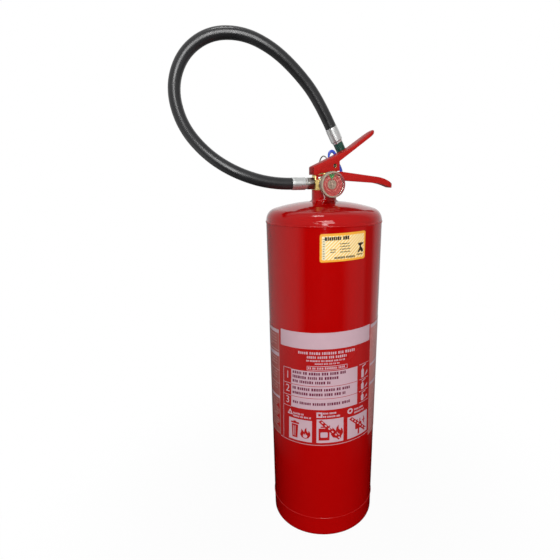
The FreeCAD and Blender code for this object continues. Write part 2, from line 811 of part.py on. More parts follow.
def arc_slot():
    """Slot in the far cheek that the pin sees as the lever turns about its pivot."""
    reach = math.hypot(pin_x - pivot_x, pin_z - pivot_z)
    half = pin_diameter / 2 + 2 * running
    depth = 2 * sheet
    y = half_lever - 1.5 * sheet
    start = rod(V(pin_x, y, pin_z), AXIS_Y, half, depth)
    end = start.copy()
    end.rotate(V(pivot_x, 0, pivot_z), AXIS_Y, -squeeze_degrees)
    band = tube(V(pivot_x, y, pivot_z), AXIS_Y, reach - half, reach + half, depth)
    first = math.atan2(pin_z - pivot_z, pin_x - pivot_x)
    last = first + math.radians(squeeze_degrees)
    fan = [(pivot_x, pivot_z)]
    for turn in (first, last):
        fan.append((pivot_x + beyond * math.cos(turn), pivot_z + beyond * math.sin(turn)))
    wedge = side_plate(fan, y, y + depth)
    return start.fuse(end).fuse(band.common(wedge))


def trigger_lever():
    blank = lever_blank()
    blank = blank.makeFillet(sheet - bend_flat, bent_edges(blank))
    lever = blank.cut(lever_hollow())
    pivot_hole = rod(V(pivot_x, -half_lever, pivot_z), AXIS_Y, pivot_diameter / 2 + running, lever_width)
    near_hole = rod(V(pin_x, -half_lever, pin_z), AXIS_Y, pin_diameter / 2, sheet)
    return lever.cut(pivot_hole).cut(near_hole).cut(arc_slot())


def pivot_pin():
    """Riveted pin through the lever's cheeks and the valve's lug."""
    half = half_lever + fit
    pin = rod(V(pivot_x, -half, pivot_z), AXIS_Y, pivot_diameter / 2, 2 * half)
    for side in (-1, 1):
        start = V(pivot_x, side * half, pivot_z)
        pin = pin.fuse(rod(start, AXIS_Y * side, pivot_head_diameter / 2, pivot_head_height))
    return pin.removeSplitter()


def pivot_spacers():
    """Washers on the pivot pin, one each side of the lug."""
    length = half_lever - sheet - lug_half_width - spacer_play
    spacers = []
    for side in (-1, 1):
        start = V(pivot_x, side * (lug_half_width + fit), pivot_z)
        spacers.append(tube(start, AXIS_Y * side, pivot_diameter / 2 + fit, lug_radius, length))
    return Part.makeCompound(spacers)


def handle_bottom(lift_z):
    """Underside of the handle's web from its tip back to the valve, or that line lifted."""
    z = block_top_z + lift_z
    dip = (handle_dip_x, z - handle_dip_drop)
    knee = (handle_knee_x, z - handle_knee_drop)
    tip = (handle_tip_x - handle_nose, z - handle_tip_drop)
    middle = ((knee[0] + tip[0]) / 2, (knee[1] + tip[1]) / 2 + handle_curve)
    return tip, [middle + knee, dip, (handle_seat_x, z), (handle_left, z)]


def carry_handle():
    """Channel that opens upwards: its web lies on the valve block, its flanges stand up."""
    tip, underside = handle_bottom(0)
    z = block_top_z
    knee = (handle_knee_x, z - handle_knee_drop + handle_knee_height)
    tip_top = (tip[0] + handle_nose_lean, tip[1] + handle_tip_height)
    middle = ((knee[0] + tip_top[0]) / 2, (knee[1] + tip_top[1]) / 2 + handle_curve * 2)
    nose = (handle_tip_x, tip[1] + handle_tip_height / 2)
    flange_line = [
        (handle_left, z + handle_left_height),
        (handle_peak_x, z + handle_peak_height),
    ]
    outline = [middle + tip_top, nose + tip] + underside + flange_line
    blank = side_profile(knee, outline, -half_handle, half_handle)
    blank = blank.common(plan_outline(handle_left, handle_tip_x, half_handle))
    floor_tip, floor = handle_bottom(sheet)
    over = [(handle_left, z + beyond), (handle_tip_x, z + beyond)]
    hollow = side_profile(floor_tip, floor + over, -half_handle, half_handle)
    inside = plan_outline(handle_left, handle_tip_x - handle_nose - sheet, half_handle - sheet)
    handle = blank.cut(hollow.common(inside))
    for opening in handle_openings():
        handle = handle.cut(opening)
    return handle


def handle_openings():
    """Room in the handle's web for the valve's lug, tower and boss, and for its screws."""
    low = block_top_z
    gap = fit + running
    half = tower_radius + gap
    lug_half = lug_half_width + gap
    openings = [
        box(handle_left, pivot_x + lug_radius + gap, -lug_half, lug_half, low, low + sheet),
        box(pin_x - pin_boss_half - gap, pin_x + pin_boss_half + gap, -half, half, low, low + sheet),
        rod(V(0, 0, low), AXIS_Z, half, sheet),
    ]
    for place in handle_screw_places():
        openings.append(rod(place, AXIS_Z, handle_screw_diameter / 2 + fit, sheet))
    return openings


def handle_screw_places():
    x = (pin_x + pin_boss_half + handle_seat_x) / 2
    return [V(x, side * handle_screw_spread / 2, block_top_z) for side in (-1, 1)]


def handle_screws():
    return screws(handle_screw_places(), AXIS_Z, handle_screw_diameter, handle_screw_depth, sheet,
                  handle_screw_head, handle_screw_head_height)


def screws(places, way, diameter, depth, clamped, head_diameter, head_height):
    """Screws whose heads hold a sheet down on the face that they go into."""
    solids = []
    for place in places:
        shank = rod(place - way * depth, way, diameter / 2, depth + clamped)
        head = rod(place + way * clamped, way, head_diameter / 2, head_height)
        solids.append(shank.fuse(head).removeSplitter())
    return Part.makeCompound(solids)


# ------------------------------------------------------- pin, ring and seal
def safety_pin():
    tip = -(tower_radius - pin_tip_inset)
    collar_y = half_lever + 2 * running
    pin = rod(V(pin_x, tip, pin_z), AXIS_Y, pin_diameter / 2, collar_y - tip)
    pin = pin.fuse(rod(V(pin_x, collar_y, pin_z), AXIS_Y, pin_collar_diameter / 2, pin_collar_height))
    eye_base = V(pin_x, eye_y, pin_z - eye_thickness / 2)
    pin = pin.fuse(rod(eye_base, AXIS_Z, eye_diameter / 2, eye_thickness))
    pin = pin.cut(rod(eye_base, AXIS_Z, eye_hole / 2, eye_thickness))
    return pin.removeSplitter()


def pull_ring():
    turn = math.radians(ring_degrees)
    reach = V(-math.cos(turn), math.sin(turn), 0)
    centre = V(pin_x, ring_y, pin_z) + reach * (ring_diameter / 2)
    return torus(centre, reach.cross(AXIS_Z), ring_diameter / 2, ring_wire / 2)


def seal_route():
    """Loose loop of the tamper seal, through the pin's eye, as (x, height above the pin)."""
    loop = [
        (0.0, 0.0), (0.2, 13.0), (4.4, 24.8), (10.2, 21.6), (13.8, 7.0), (19.0, -2.0),
        (21.8, -9.0), (17.6, -16.0), (8.0, -17.5), (1.0, -10.0),
    ]
    return [V(pin_x + x, seal_y, pin_z + z) for x, z in loop]


def tamper_seal():
    points = seal_route()
    start = (points[0] + points[1]) * 0.5
    closed = [start] + points[1:] + points[:1] + [start]
    wire, _ = rounded_path(closed)
    return sweep(wire, start, points[1] - points[0], seal_wire / 2)


# --------------------------------------------------------------------- gauge
def gauge_point(y):
    return V(0, y, gauge_z)


def gauge_disc(y, diameter, length):
    """Disc round the gauge's axis, from y towards its front."""
    return rod(gauge_point(y), -AXIS_Y, diameter / 2, length)


def gauge_stem():
    washer_front = -half_block - gauge_washer_height
    thread_length = gauge_hole_depth + gauge_washer_height - gauge_thread_end_gap
    thread = rod(gauge_point(washer_front), AXIS_Y, gauge_thread / 2, thread_length)
    hexagonal = hexagon(gauge_point(washer_front), -AXIS_Y, gauge_hex, gauge_neck_length)
    post = gauge_disc(gauge_back_y, gauge_post_diameter, gauge_back_y - post_end_y)
    stem = thread.fuse(hexagonal).fuse(post)
    bore_back = gauge_hole_depth - half_block
    bore = gauge_disc(bore_back, gauge_bore, bore_back - gauge_back_y + gauge_bore_into_post)
    bearing = rod(gauge_point(post_end_y), AXIS_Y, spindle_diameter / 2 + fit, bearing_length)
    return stem.cut(bore).cut(bearing).removeSplitter()


def gauge_washer():
    outer = gauge_hex / 2 + gauge_washer_lip
    return tube(gauge_point(-half_block), -AXIS_Y, gauge_thread / 2 + fit, outer, gauge_washer_height)


def gauge_case():
    """Cup of the gauge, closed at the back round the stem's post."""
    lens_back_y = gauge_front_y + bezel_front + fit + lens_thickness
    depth = gauge_back_y - lens_back_y - lens_seat_gap
    cup = gauge_disc(gauge_back_y, 2 * case_radius, depth)
    hollow = gauge_disc(gauge_back_y - gauge_wall, 2 * (case_radius - gauge_wall), depth)
    hole = gauge_disc(gauge_back_y, gauge_post_diameter + 2 * fit, gauge_wall)
    return cup.cut(hollow).cut(hole)


def gauge_bezel():
    """Ring over the case's rim, with a lip in front of the lens."""
    outer = gauge_diameter / 2
    front = gauge_point(gauge_front_y)
    ring = rod(front, AXIS_Y, outer, bezel_height)
    front_edges = [e for e in ring.Edges if len(e.Vertexes) == 1 and e.Vertexes[0].Y < gauge_front_y + fit]
    ring = ring.makeFillet(bezel_front, front_edges)
    ring = ring.cut(rod(front, AXIS_Y, outer - bezel_lip, bezel_height))
    return ring.cut(rod(front + AXIS_Y * bezel_front, AXIS_Y, case_radius + fit, bezel_height))


def gauge_lens():
    """Clear plate with a slightly domed front."""
    inner = gauge_diameter / 2 - bezel_lip - 2 * fit
    outer = case_radius - fit
    front = gauge_front_y + bezel_front + fit
    dome_radius = (inner ** 2 + lens_bulge ** 2) / (2 * lens_bulge)
    half_turn = math.asin(inner / dome_radius) / 2
    way = V(math.sin(half_turn), -math.cos(half_turn), 0)
    apex = gauge_point(front - lens_bulge)
    shoulder = gauge_point(front) + AXIS_X * inner
    rim_front = gauge_point(front) + AXIS_X * outer
    rim_back = gauge_point(front + lens_thickness) + AXIS_X * outer
    middle_back = gauge_point(front + lens_thickness)
    edges = [
        Part.Arc(apex, apex + AXIS_Y * dome_radius + way * dome_radius, shoulder).toShape(),
        line(shoulder, rim_front),
        line(rim_front, rim_back),
        line(rim_back, middle_back),
        line(middle_back, apex),
    ]
    return revolve(edges, AXIS_Y, gauge_point(0))


def gauge_dial():
    disc = gauge_disc(dial_back_y, 2 * (case_radius - gauge_wall - fit), dial_thickness)
    return disc.cut(gauge_disc(dial_back_y, spindle_diameter + 2 * spindle_gap, dial_thickness))


def dial_hub_plate():
    plate = gauge_disc(dial_front_y, hub_plate_diameter, hub_plate_thickness)
    return plate.cut(gauge_disc(dial_front_y, spindle_diameter + 2 * spindle_gap, hub_plate_thickness))


def gauge_needle():
    z = gauge_z
    tail = needle_tail_width / 2
    middle = needle_width / 2
    tip = needle_tip_width / 2
    outline = [
        (-tail, z - needle_tail),
        (tail, z - needle_tail),
        (middle, z),
        (tip, z + needle_length),
        (-tip, z + needle_length),
        (-middle, z),
    ]
    blade = side_plate(outline, needle_back_y - needle_thickness, needle_back_y)
    hub_height = needle_thickness + needle_hub_proud
    hub = gauge_disc(needle_back_y, needle_hub_diameter, hub_height)
    bore = gauge_disc(needle_back_y, spindle_diameter + 2 * needle_fit, hub_height)
    return blade.fuse(hub).cut(bore).removeSplitter()


def needle_spindle():
    back = post_end_y + bearing_length - spindle_end_gap
    front = needle_back_y - needle_thickness - needle_hub_proud
    return gauge_disc(back, spindle_diameter, back - front)


def bourdon_tube():
    """Curled pressure tube behind the dial, fed from the stem's post."""
    centre = gauge_point((gauge_back_y - gauge_wall + dial_back_y) / 2)
    radius = bourdon_diameter / 2
    section = Part.Face(Part.Wire(Part.makeCircle(bourdon_wire / 2, centre + AXIS_X * radius, AXIS_Z)))
    curl = section.revolve(centre, AXIS_Y, bourdon_degrees)
    start = gauge_post_diameter / 2 + fit
    lead = rod(centre + AXIS_X * start, AXIS_X, bourdon_wire / 2, radius - start)
    return curl.fuse(lead).removeSplitter()


# ---------------------------------------------------------- hose and its ends
def hose_nut():
    nut = hexagon(V(nut_left, 0, outlet_z), AXIS_X, nut_hex, nut_length)
    turned = rod(V(nut_left, 0, outlet_z), AXIS_X, nut_hex / math.sqrt(3) - nut_round, nut_length)
    return nut.common(turned).cut(rod(V(nut_left, 0, outlet_z), AXIS_X, outlet_thread / 2 + fit, nut_length))


def hose_tail():
    """Threaded into the valve, through the nut, with a barb inside the ferrule."""
    thread_end = outlet_x + outlet_depth - tail_end_gap
    barb_start = ferrule_left + crimp_floor + barb_gap
    thread = rod(V(nut_left, 0, outlet_z), AXIS_X, outlet_thread / 2, thread_end - nut_left)
    barb = rod(V(barb_start, 0, outlet_z), AXIS_X, barb_diameter / 2, nut_left - barb_start)
    bore = rod(V(barb_start, 0, outlet_z), AXIS_X, tail_bore / 2, thread_end - barb_start)
    return thread.fuse(barb).cut(bore).removeSplitter()


def crimped_sleeve(start, way):
    """Swaged sleeve on a hose end, closed round the hose at its free end."""
    sleeve = rod(start, way, ferrule_diameter / 2, ferrule_length)
    rounded = [e for e in sleeve.Edges if len(e.Vertexes) == 1]
    sleeve = sleeve.makeFillet(crimp_round, rounded)
    socket = rod(start + way * crimp_floor, way, barb_diameter / 2 + fit, ferrule_length)
    waterway = rod(start, way, tail_bore / 2, ferrule_length)
    return sleeve.cut(socket).cut(waterway)


def hose_ferrule():
    return crimped_sleeve(V(ferrule_left, 0, outlet_z), AXIS_X)


def hose():
    wire, _ = rounded_path(hose_route)
    way = hose_route[1] - hose_route[0]
    outer = sweep(wire, hose_route[0], way, hose_diameter / 2)
    return outer.cut(sweep(wire, hose_route[0], way, hose_bore / 2))


def nozzle_ferrule():
    return crimped_sleeve(hose_route[-1], nozzle_way)


def nozzle_point(along):
    """Point on the nozzle's axis, counted from the end of the hose."""
    return hose_route[-1] + nozzle_way * along


def nozzle():
    start = ferrule_length + nozzle_gap
    cone_start = start + nozzle_barrel_length
    spigot_start = crimp_floor + barb_gap
    barrel = rod(nozzle_point(start), nozzle_way, nozzle_diameter / 2, nozzle_barrel_length)
    cone = Part.makeCone(nozzle_diameter / 2, nozzle_tip_diameter / 2, nozzle_cone_length,
                         nozzle_point(cone_start), nozzle_way)
    spigot = rod(nozzle_point(spigot_start), nozzle_way, barb_diameter / 2, start - spigot_start)
    bore_length = cone_start + nozzle_cone_length - spigot_start
    bore = rod(nozzle_point(spigot_start), nozzle_way, nozzle_bore / 2, bore_length)
    return barrel.fuse(cone).fuse(spigot).cut(bore).removeSplitter()


def nozzle_clip():
    """Spring clip round the nozzle, open on the far side, with a pad on the bracket."""
    clip_end = ferrule_length + nozzle_gap + nozzle_barrel_length
    start = nozzle_point(clip_end - clip_length)
    middle = nozzle_point(clip_end - clip_length / 2)
    shell = rod(start, nozzle_way, clip_radius + clip_wall, clip_length)
    pad = rod(V(middle.x, bracket_back_y, middle.z), AXIS_Y, clip_pad_diameter / 2, middle.y - bracket_back_y)
    clip = shell.fuse(pad).cut(rod(nozzle_point(0), nozzle_way, clip_radius, beyond))
    mouth_y = middle.y + clip_radius * math.cos(math.radians(clip_mouth_degrees / 2))
    opening = box(middle.x - beyond, middle.x + beyond, mouth_y, mouth_y + beyond,
                  middle.z - beyond, middle.z + beyond)
    return clip.cut(opening)


def bracket_screw_places():
    x = (bracket_left + bracket_right) / 2
    low = neck_top_z + flange_height + bracket_screw_gap + bracket_screw_head / 2
    return [V(x, half_block, low + index * bracket_screw_pitch) for index in range(2)]


def clip_bracket():
    """Flat steel strip from the back of the valve block up behind the lever."""
    rise = bracket_arm_width / math.cos(lever_tilt)
    foot_z = neck_top_z + flange_height + flange_clearance
    tip_x = bracket_end_x - bracket_tip_corner
    top_end_x = bracket_end_x - bracket_corner
    top_start_x = bracket_left + bracket_corner

    def upper(x):
        return lever_top(x) - bracket_arm_drop

    points = [
        (bracket_left, foot_z),
        (bracket_right, foot_z),
        (bracket_right, upper(bracket_right) - rise),
        (tip_x, upper(tip_x) - rise),
        (bracket_end_x, upper(bracket_end_x) - rise / 2),
        (top_end_x, upper(top_end_x)),
        (top_start_x, upper(top_start_x)),
        (bracket_left, upper(bracket_left) - bracket_corner),
    ]
    strip = side_plate(points, half_block, bracket_back_y)
    for place in bracket_screw_places():
        strip = strip.cut(rod(place, AXIS_Y, bracket_screw_diameter / 2 + fit, bracket_thickness))
    return strip


def bracket_screws():
    return screws(bracket_screw_places(), AXIS_Y, bracket_screw_diameter, bracket_screw_depth,
                  bracket_thickness, bracket_screw_head, bracket_screw_head_height)


# -------------------------------------------------------------------- output
def all_parts():
    return {
        "body_shell": body_shell(),
        "top_dome": top_dome(),
        "bottom_cap": bottom_cap(),
        "lower_weld_bead": weld_bead(base_seam_z),
        "upper_weld_bead": weld_bead(top_seam_z),
        "neck_collar": neck_collar(),
        "neck_weld": neck_weld(),
        "valve_body": valve_body(),
        "neck_o_ring": neck_o_ring(),
        "stem_gland": stem_gland(),
        "stem_o_ring": stem_o_ring(),
        "valve_stem": valve_stem(),
        "seat_washer": seat_washer(),
        "stem_spring": stem_spring(),
        "dip_tube_adapter": dip_tube_adapter(),
        "dip_tube": dip_tube(),
        "inlet_strainer": inlet_strainer(),
        "carry_handle": carry_handle(),
        "handle_screws": handle_screws(),
        "trigger_lever": trigger_lever(),
        "pivot_pin": pivot_pin(),
        "pivot_spacers": pivot_spacers(),
        "safety_pin": safety_pin(),
        "pull_ring": pull_ring(),
        "tamper_seal": tamper_seal(),
        "gauge_stem": gauge_stem(),
        "gauge_washer": gauge_washer(),
        "gauge_case": gauge_case(),
        "gauge_bezel": gauge_bezel(),
        "gauge_lens": gauge_lens(),
        "gauge_dial": gauge_dial(),
        "dial_hub_plate": dial_hub_plate(),
        "gauge_needle": gauge_needle(),
        "needle_spindle": needle_spindle(),
        "bourdon_tube": bourdon_tube(),
        "hose_nut": hose_nut(),
        "hose_tail": hose_tail(),
        "hose_ferrule": hose_ferrule(),
        "hose": hose(),
        "nozzle_ferrule": nozzle_ferrule(),
        "nozzle": nozzle(),
        "nozzle_clip": nozzle_clip(),
        "clip_bracket": clip_bracket(),
        "bracket_screws": bracket_screws(),
        "front_label": curved_sheet(front_label_degrees, label_bottom_z, label_bottom_z + front_label_height),
        "left_label": curved_sheet(left_label_degrees, label_bottom_z, label_bottom_z + side_label_height),
        "right_label": curved_sheet(right_label_degrees, label_bottom_z, label_bottom_z + side_label_height),
        "inspection_sticker": curved_sheet(sticker_degrees, sticker_top_z - sticker_height, sticker_top_z),
    }


os.makedirs("parts", exist_ok=True)
for name, shape in all_parts().items():
    shape.exportStep("parts/" + name + ".step")
    state = "ok" if shape.isValid() else "INVALID"
    print("%-20s %-8s solids %d volume %.1f mm3" % (name, state, len(shape.Solids), shape.Volume))

hose_line, hose_radii = rounded_path(hose_route)
print("hose length %.1f mm" % hose_line.Length)
print("hose bend radii", [round(radius, 1) for radius in hose_radii])
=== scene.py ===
import json
import math
import random

import bmesh
import bpy
from bpy.props import FloatProperty, FloatVectorProperty, PointerProperty
from mathutils import Matrix, Vector
from mathutils.geometry import delaunay_2d_cdt

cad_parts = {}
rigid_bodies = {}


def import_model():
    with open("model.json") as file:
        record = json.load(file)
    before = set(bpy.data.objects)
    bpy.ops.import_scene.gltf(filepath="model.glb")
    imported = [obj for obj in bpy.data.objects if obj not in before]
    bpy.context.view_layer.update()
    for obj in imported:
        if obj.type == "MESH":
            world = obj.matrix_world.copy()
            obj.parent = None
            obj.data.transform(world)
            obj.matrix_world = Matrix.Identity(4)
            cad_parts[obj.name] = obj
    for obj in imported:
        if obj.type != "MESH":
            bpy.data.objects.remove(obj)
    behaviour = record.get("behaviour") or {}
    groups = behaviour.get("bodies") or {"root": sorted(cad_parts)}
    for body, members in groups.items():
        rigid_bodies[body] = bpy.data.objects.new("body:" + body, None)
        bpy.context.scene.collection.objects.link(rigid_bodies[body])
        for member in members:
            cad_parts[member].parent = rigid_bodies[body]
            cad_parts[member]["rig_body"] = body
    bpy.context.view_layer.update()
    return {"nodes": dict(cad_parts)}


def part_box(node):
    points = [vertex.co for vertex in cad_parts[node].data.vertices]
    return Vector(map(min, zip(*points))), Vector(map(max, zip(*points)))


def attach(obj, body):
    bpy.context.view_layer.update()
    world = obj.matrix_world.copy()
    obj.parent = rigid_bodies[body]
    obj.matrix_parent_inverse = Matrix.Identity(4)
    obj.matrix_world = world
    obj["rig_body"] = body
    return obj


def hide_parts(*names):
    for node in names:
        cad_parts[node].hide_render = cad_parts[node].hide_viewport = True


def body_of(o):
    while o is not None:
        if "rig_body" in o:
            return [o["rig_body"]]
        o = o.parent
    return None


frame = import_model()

bl_info = {
    "name": "Water Extinguisher",
    "version": (1, 0, 0),
    "blender": (4, 5, 0),
    "location": "3D View > Sidebar > Extinguisher",
    "description": "Builds the finished surfaces of a water extinguisher round its packed frame",
    "category": "Add Mesh",
}

AXIS_X = Vector((1, 0, 0))
AXIS_Y = Vector((0, 1, 0))
AXIS_Z = Vector((0, 0, 1))
MM = 0.001


# ------------------------------------------------------------------ settings
def length(name, description, default):
    return FloatProperty(name=name, description=description, default=default, unit="LENGTH", precision=5)


def angle(name, description, degrees):
    return FloatProperty(name=name, description=description, default=math.radians(degrees), subtype="ANGLE")


def colour(name, description, default):
    return FloatVectorProperty(name=name, description=description, default=default, size=3,
                               min=0.0, max=1.0, subtype="COLOR")


def amount(name, description, default):
    return FloatProperty(name=name, description=description, default=default, min=0.0)


class StageSettings(bpy.types.PropertyGroup):
    place: FloatVectorProperty(name="Camera place", description="Where the camera stands", size=3,
                               default=(-0.2500, -0.6869, 0.6055), subtype="TRANSLATION")
    heading: angle("Heading", "Camera's heading, from +Y towards +X", 18.24)
    pitch: angle("Pitch", "How far the camera looks down", 18.01)
    roll: angle("Roll", "Camera's turn about its own line of sight", -0.28)
    focal: FloatProperty(name="Focal length", description="Lens of the camera", default=29.4, unit="CAMERA")
    shift_x: FloatProperty(name="Shift across", description="Sideways shift of the frame", default=-0.0536)
    shift_y: FloatProperty(name="Shift up", description="Upward shift of the frame", default=0.0714)
    fill: amount("Fill", "Brightness of the room's even light", 0.13)
    gloss: amount("Gloss", "Brightness of the room that gloss sees, as a share of its tones", 1.0)
    floor_near: length("Dark floor", "Distance from the object within which gloss sees a dark floor", 0.25)
    floor_far: length("Pale floor", "Distance from which gloss sees the floor at the room's brightness", 1.2)
    key: amount("Key lamps", "Power of each square metre of the key lamps, in watts", 50.0)
    window: amount("Window lamp", "Power of the lamp behind the camera, in watts", 31.0)
    window_rise: angle("Window height", "How high the window lamp stands over the horizon", 24.0)
    aim_height: length("Aim height", "Height that the lamps are aimed at", 0.45)
    floor_size: length("Floor size", "Side of the square floor", 12.0)
    floor_white: amount("Floor white", "Share of the backdrop's white on the floor near the object", 0.965)
    white_near: length("Shadow floor", "Distance from the object within which that share holds", 0.14)
    white_far: length("White floor", "Distance from which the floor is as white as the backdrop", 0.6)


class HoseSettings(bpy.types.PropertyGroup):
    diameter: length("Hose diameter", "Outside diameter of the hose", 0.0174)
    real_length: length("Hose length", "Length of the hose between its ferrules", 0.5513)
    sleeve: length("Ferrule diameter", "Outside diameter of the swaged ferrules", 0.0186)
    sleeve_length: length("Ferrule length", "Length of the swaged ferrules", 0.0243)
    barrel: length("Nozzle diameter", "Outside diameter of the nozzle's barrel", 0.0150)
    nut_edge: length("Nut's edge", "Rounding of the union nut's edges", 0.0004)
    rubber: colour("Rubber", "Colour of the hose's cover", (0.014, 0.014, 0.015))
    ferrule: colour("Ferrule", "Colour of the swaged ferrules", (0.72, 0.73, 0.72))
    nozzle: colour("Nozzle", "Colour of the moulded nozzle", (0.012, 0.060, 0.042))


class VesselSettings(bpy.types.PropertyGroup):
    paint: colour("Paint", "Colour of the gloss enamel", (0.42, 0.0012, 0.0012))
    ripple: length("Ripple", "Distance between two ripples of a ring weld", 0.0024)
    bead_rise: length("Bead rise", "How much prouder the ring welds stand than in the plain model", 0.0004)
    neck_round: length("Neck edge", "Rounding of the neck's upper edge", 0.0007)


class LabelSettings(bpy.types.PropertyGroup):
    lean: angle("Lean", "How far the labels were stuck on askew", 2.0)
    flare: amount("Flare", "Share by which the front label spreads towards its foot", 0.042)
    front_turn: angle("Front label", "Direction of the front label's middle, from the front", -16.8)
    left_turn: angle("Left label", "Direction of the left label's middle, from the front", -102.5)
    right_turn: angle("Right label", "Direction of the right label's middle, from the front", 70.5)
    sticker_turn: angle("Sticker", "Direction of the sticker's middle, from the front", -1.1)
    sticker_lean: angle("Sticker lean", "How far the sticker was stuck on askew", 2.3)
    film: length("Film", "Thickness of the label film", 0.00022)
    red: colour("Label red", "Printed red ground", (0.40, 0.008, 0.008))
    pale: colour("Label pale", "Unprinted pale areas", (0.56, 0.38, 0.43))
    faint: colour("Label fine print", "Fine print of the side labels", (0.47, 0.23, 0.21))
    dark: colour("Label ink", "Dark red print on the pale areas", (0.15, 0.020, 0.050))
    # The side labels' grounds are paler and pinker than the front label's red, the right one the palest.
    left_film: colour("Left film", "Faded ground of the left label", (0.38, 0.085, 0.075))
    right_film: colour("Right film", "Faded ground of the right label", (0.54, 0.195, 0.185))
    orange: colour("Sticker border", "Border of the service sticker", (0.90, 0.42, 0.05))
    yellow: colour("Sticker field", "Field of the service sticker", (0.90, 0.56, 0.14))
    hatch: colour("Sticker lines", "Slanting lines on the sticker", (0.95, 0.84, 0.56))
    strip: colour("Sticker strip", "Pale strip along the sticker's edge", (0.78, 0.70, 0.48))
    black: colour("Sticker ink", "Dark print on the sticker", (0.020, 0.012, 0.008))


class ValveSettings(bpy.types.PropertyGroup):
    brass: colour("Brass", "Colour of the valve", (0.92, 0.70, 0.24))
    steel: colour("Steel", "Colour of plated steel", (0.32, 0.30, 0.27))
    edge: length("Edge rounding", "Rounding of machined edges", 0.00035)


class GripSettings(bpy.types.PropertyGroup):
    paint: colour("Paint", "Colour of the lever's and handle's enamel", (0.44, 0.013, 0.011))
    edge: length("Edge rounding", "Rounding of the sheet's edges", 0.0005)


class PinSettings(bpy.types.PropertyGroup):
    edge: length("Edge rounding", "Rounding of the pin's edges", 0.0002)
    seal: colour("Seal", "Colour of the tamper seal", (0.040, 0.095, 0.58))
    strap: length("Strap", "Thickness of the tamper seal's strap", 0.0046)
    strap_eye: length("Strap in the eye", "Thickness of the strap where it passes the pin's eye", 0.0024)


class GaugeSettings(bpy.types.PropertyGroup):
    rim: colour("Rim", "Colour of the gauge's rim", (0.36, 0.30, 0.22))
    # The rim's red is painted light: the dial's glow shining through the rim on its right side.
    stain: colour("Rim's red", "Dial red that shines through the rim on its right side", (0.30, 0.045, 0.055))
    red: colour("Dial red", "Colour of the dial's red field", (0.37, 0.028, 0.026))
    green: colour("Dial green", "Colour of the dial's working field", (0.045, 0.25, 0.055))
    pale: colour("Dial print", "Colour of the dial's ticks and numbers", (0.52, 0.34, 0.29))
    circle: colour("Dial circle", "Colour of the circle inside the dial's scale", (0.60, 0.17, 0.13))
    needle: colour("Needle", "Colour of the needle", (0.42, 0.29, 0.23))
    edge: length("Edge rounding", "Rounding of the case's edges", 0.0003)


# ------------------------------------------------------------------- helpers
def link(piece):
    bpy.context.scene.collection.objects.link(piece)
    return piece


def finished(piece, node, slot, *materials):
    """Put a piece on the body of the CAD node that it stands for, in its slot's finish or its own ones."""
    for material in materials or (finish_for(slot),):
        piece.data.materials.append(material)
    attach(piece, body_of(frame["nodes"][node])[0])
    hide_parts(node)
    return piece


def smooth(mesh, sharp_degrees=35):
    mesh.shade_smooth()
    mesh.set_sharp_from_angle(angle=math.radians(sharp_degrees))


def piece_from(bm, name, sharp_degrees=35):
    mesh = bpy.data.meshes.new(name)
    bm.to_mesh(mesh)
    bm.free()
    smooth(mesh, sharp_degrees)
    return link(bpy.data.objects.new(name, mesh))


def along(centre, way):
    """Matrix that takes +Z to way and the origin to centre."""
    turn = AXIS_Z.rotation_difference(Vector(way)).to_matrix().to_4x4()
    return Matrix.Translation(centre) @ turn


def arc_points(centre, radius, start, end, steps):
    """Points (radius, height) on an arc, angles in degrees from outwards towards up."""
    points = []
    for step in range(steps + 1):
        turn = math.radians(start + (end - start) * step / steps)
        points.append((centre[0] + radius * math.cos(turn), centre[1] + radius * math.sin(turn)))
    return points


def bent(start, corner, end, steps):
    """Points of the small curve from start to end that a corner draws towards itself."""
    points = []
    for step in range(steps + 1):
        t = step / steps
        points.append(tuple(start * (1 - t) ** 2 + corner * (2 * t * (1 - t)) + end * t ** 2))
    return points


def eased(corners, steps):
    """Closed outline whose corners (radius, height, rounding) are eased by a small curve."""
    points = []
    for index, (r, z, rounding) in enumerate(corners):
        here = Vector((r, z))
        before = Vector(corners[index - 1][:2]) - here
        after = Vector(corners[(index + 1) % len(corners)][:2]) - here
        reach = min(rounding, before.length * 0.49, after.length * 0.49)
        points += bent(here + before.normalized() * reach, here, here + after.normalized() * reach, steps)
    return points


def turned(name, outline, place, segments=96, closed=True, shape=None):
    """Outline of (radius, height) turned about an axis. shape(turn, radius, height) gives a new radius."""
    bm = bmesh.new()
    rings = []
    for radius, height in outline:
        if radius < 1e-7:
            rings.append([bm.verts.new((0, 0, height))])
            continue
        ring = []
        for step in range(segments):
            turn = 2 * math.pi * step / segments
            r = shape(turn, radius, height) if shape else radius
            ring.append(bm.verts.new((r * math.cos(turn), r * math.sin(turn), height)))
        rings.append(ring)
    pairs = list(zip(rings, rings[1:]))
    if closed:
        pairs.append((rings[-1], rings[0]))
    for low, high in pairs:
        for step in range(segments):
            following = (step + 1) % segments
            corners = []
            for ring, which in ((low, step), (low, following), (high, following), (high, step)):
                vertex = ring[which % len(ring)]
                if vertex not in corners:
                    corners.append(vertex)
            if len(corners) > 2:
                bm.faces.new(corners)
    bmesh.ops.recalc_face_normals(bm, faces=bm.faces)
    bm.transform(place)
    return piece_from(bm, name)


def round_line(name, thickness, places, bevel_steps, steps):
    """Smooth round curve led by its places, and its spline."""
    curve = bpy.data.curves.new(name, "CURVE")
    curve.dimensions = "3D"
    curve.bevel_depth = thickness / 2
    curve.bevel_resolution = bevel_steps
    curve.resolution_u = steps
    spline = curve.splines.new("NURBS")
    spline.points.add(len(places) - 1)
    for point, place in zip(spline.points, places):
        point.co = (*place, 1.0)
    spline.order_u = 3
    return curve, spline


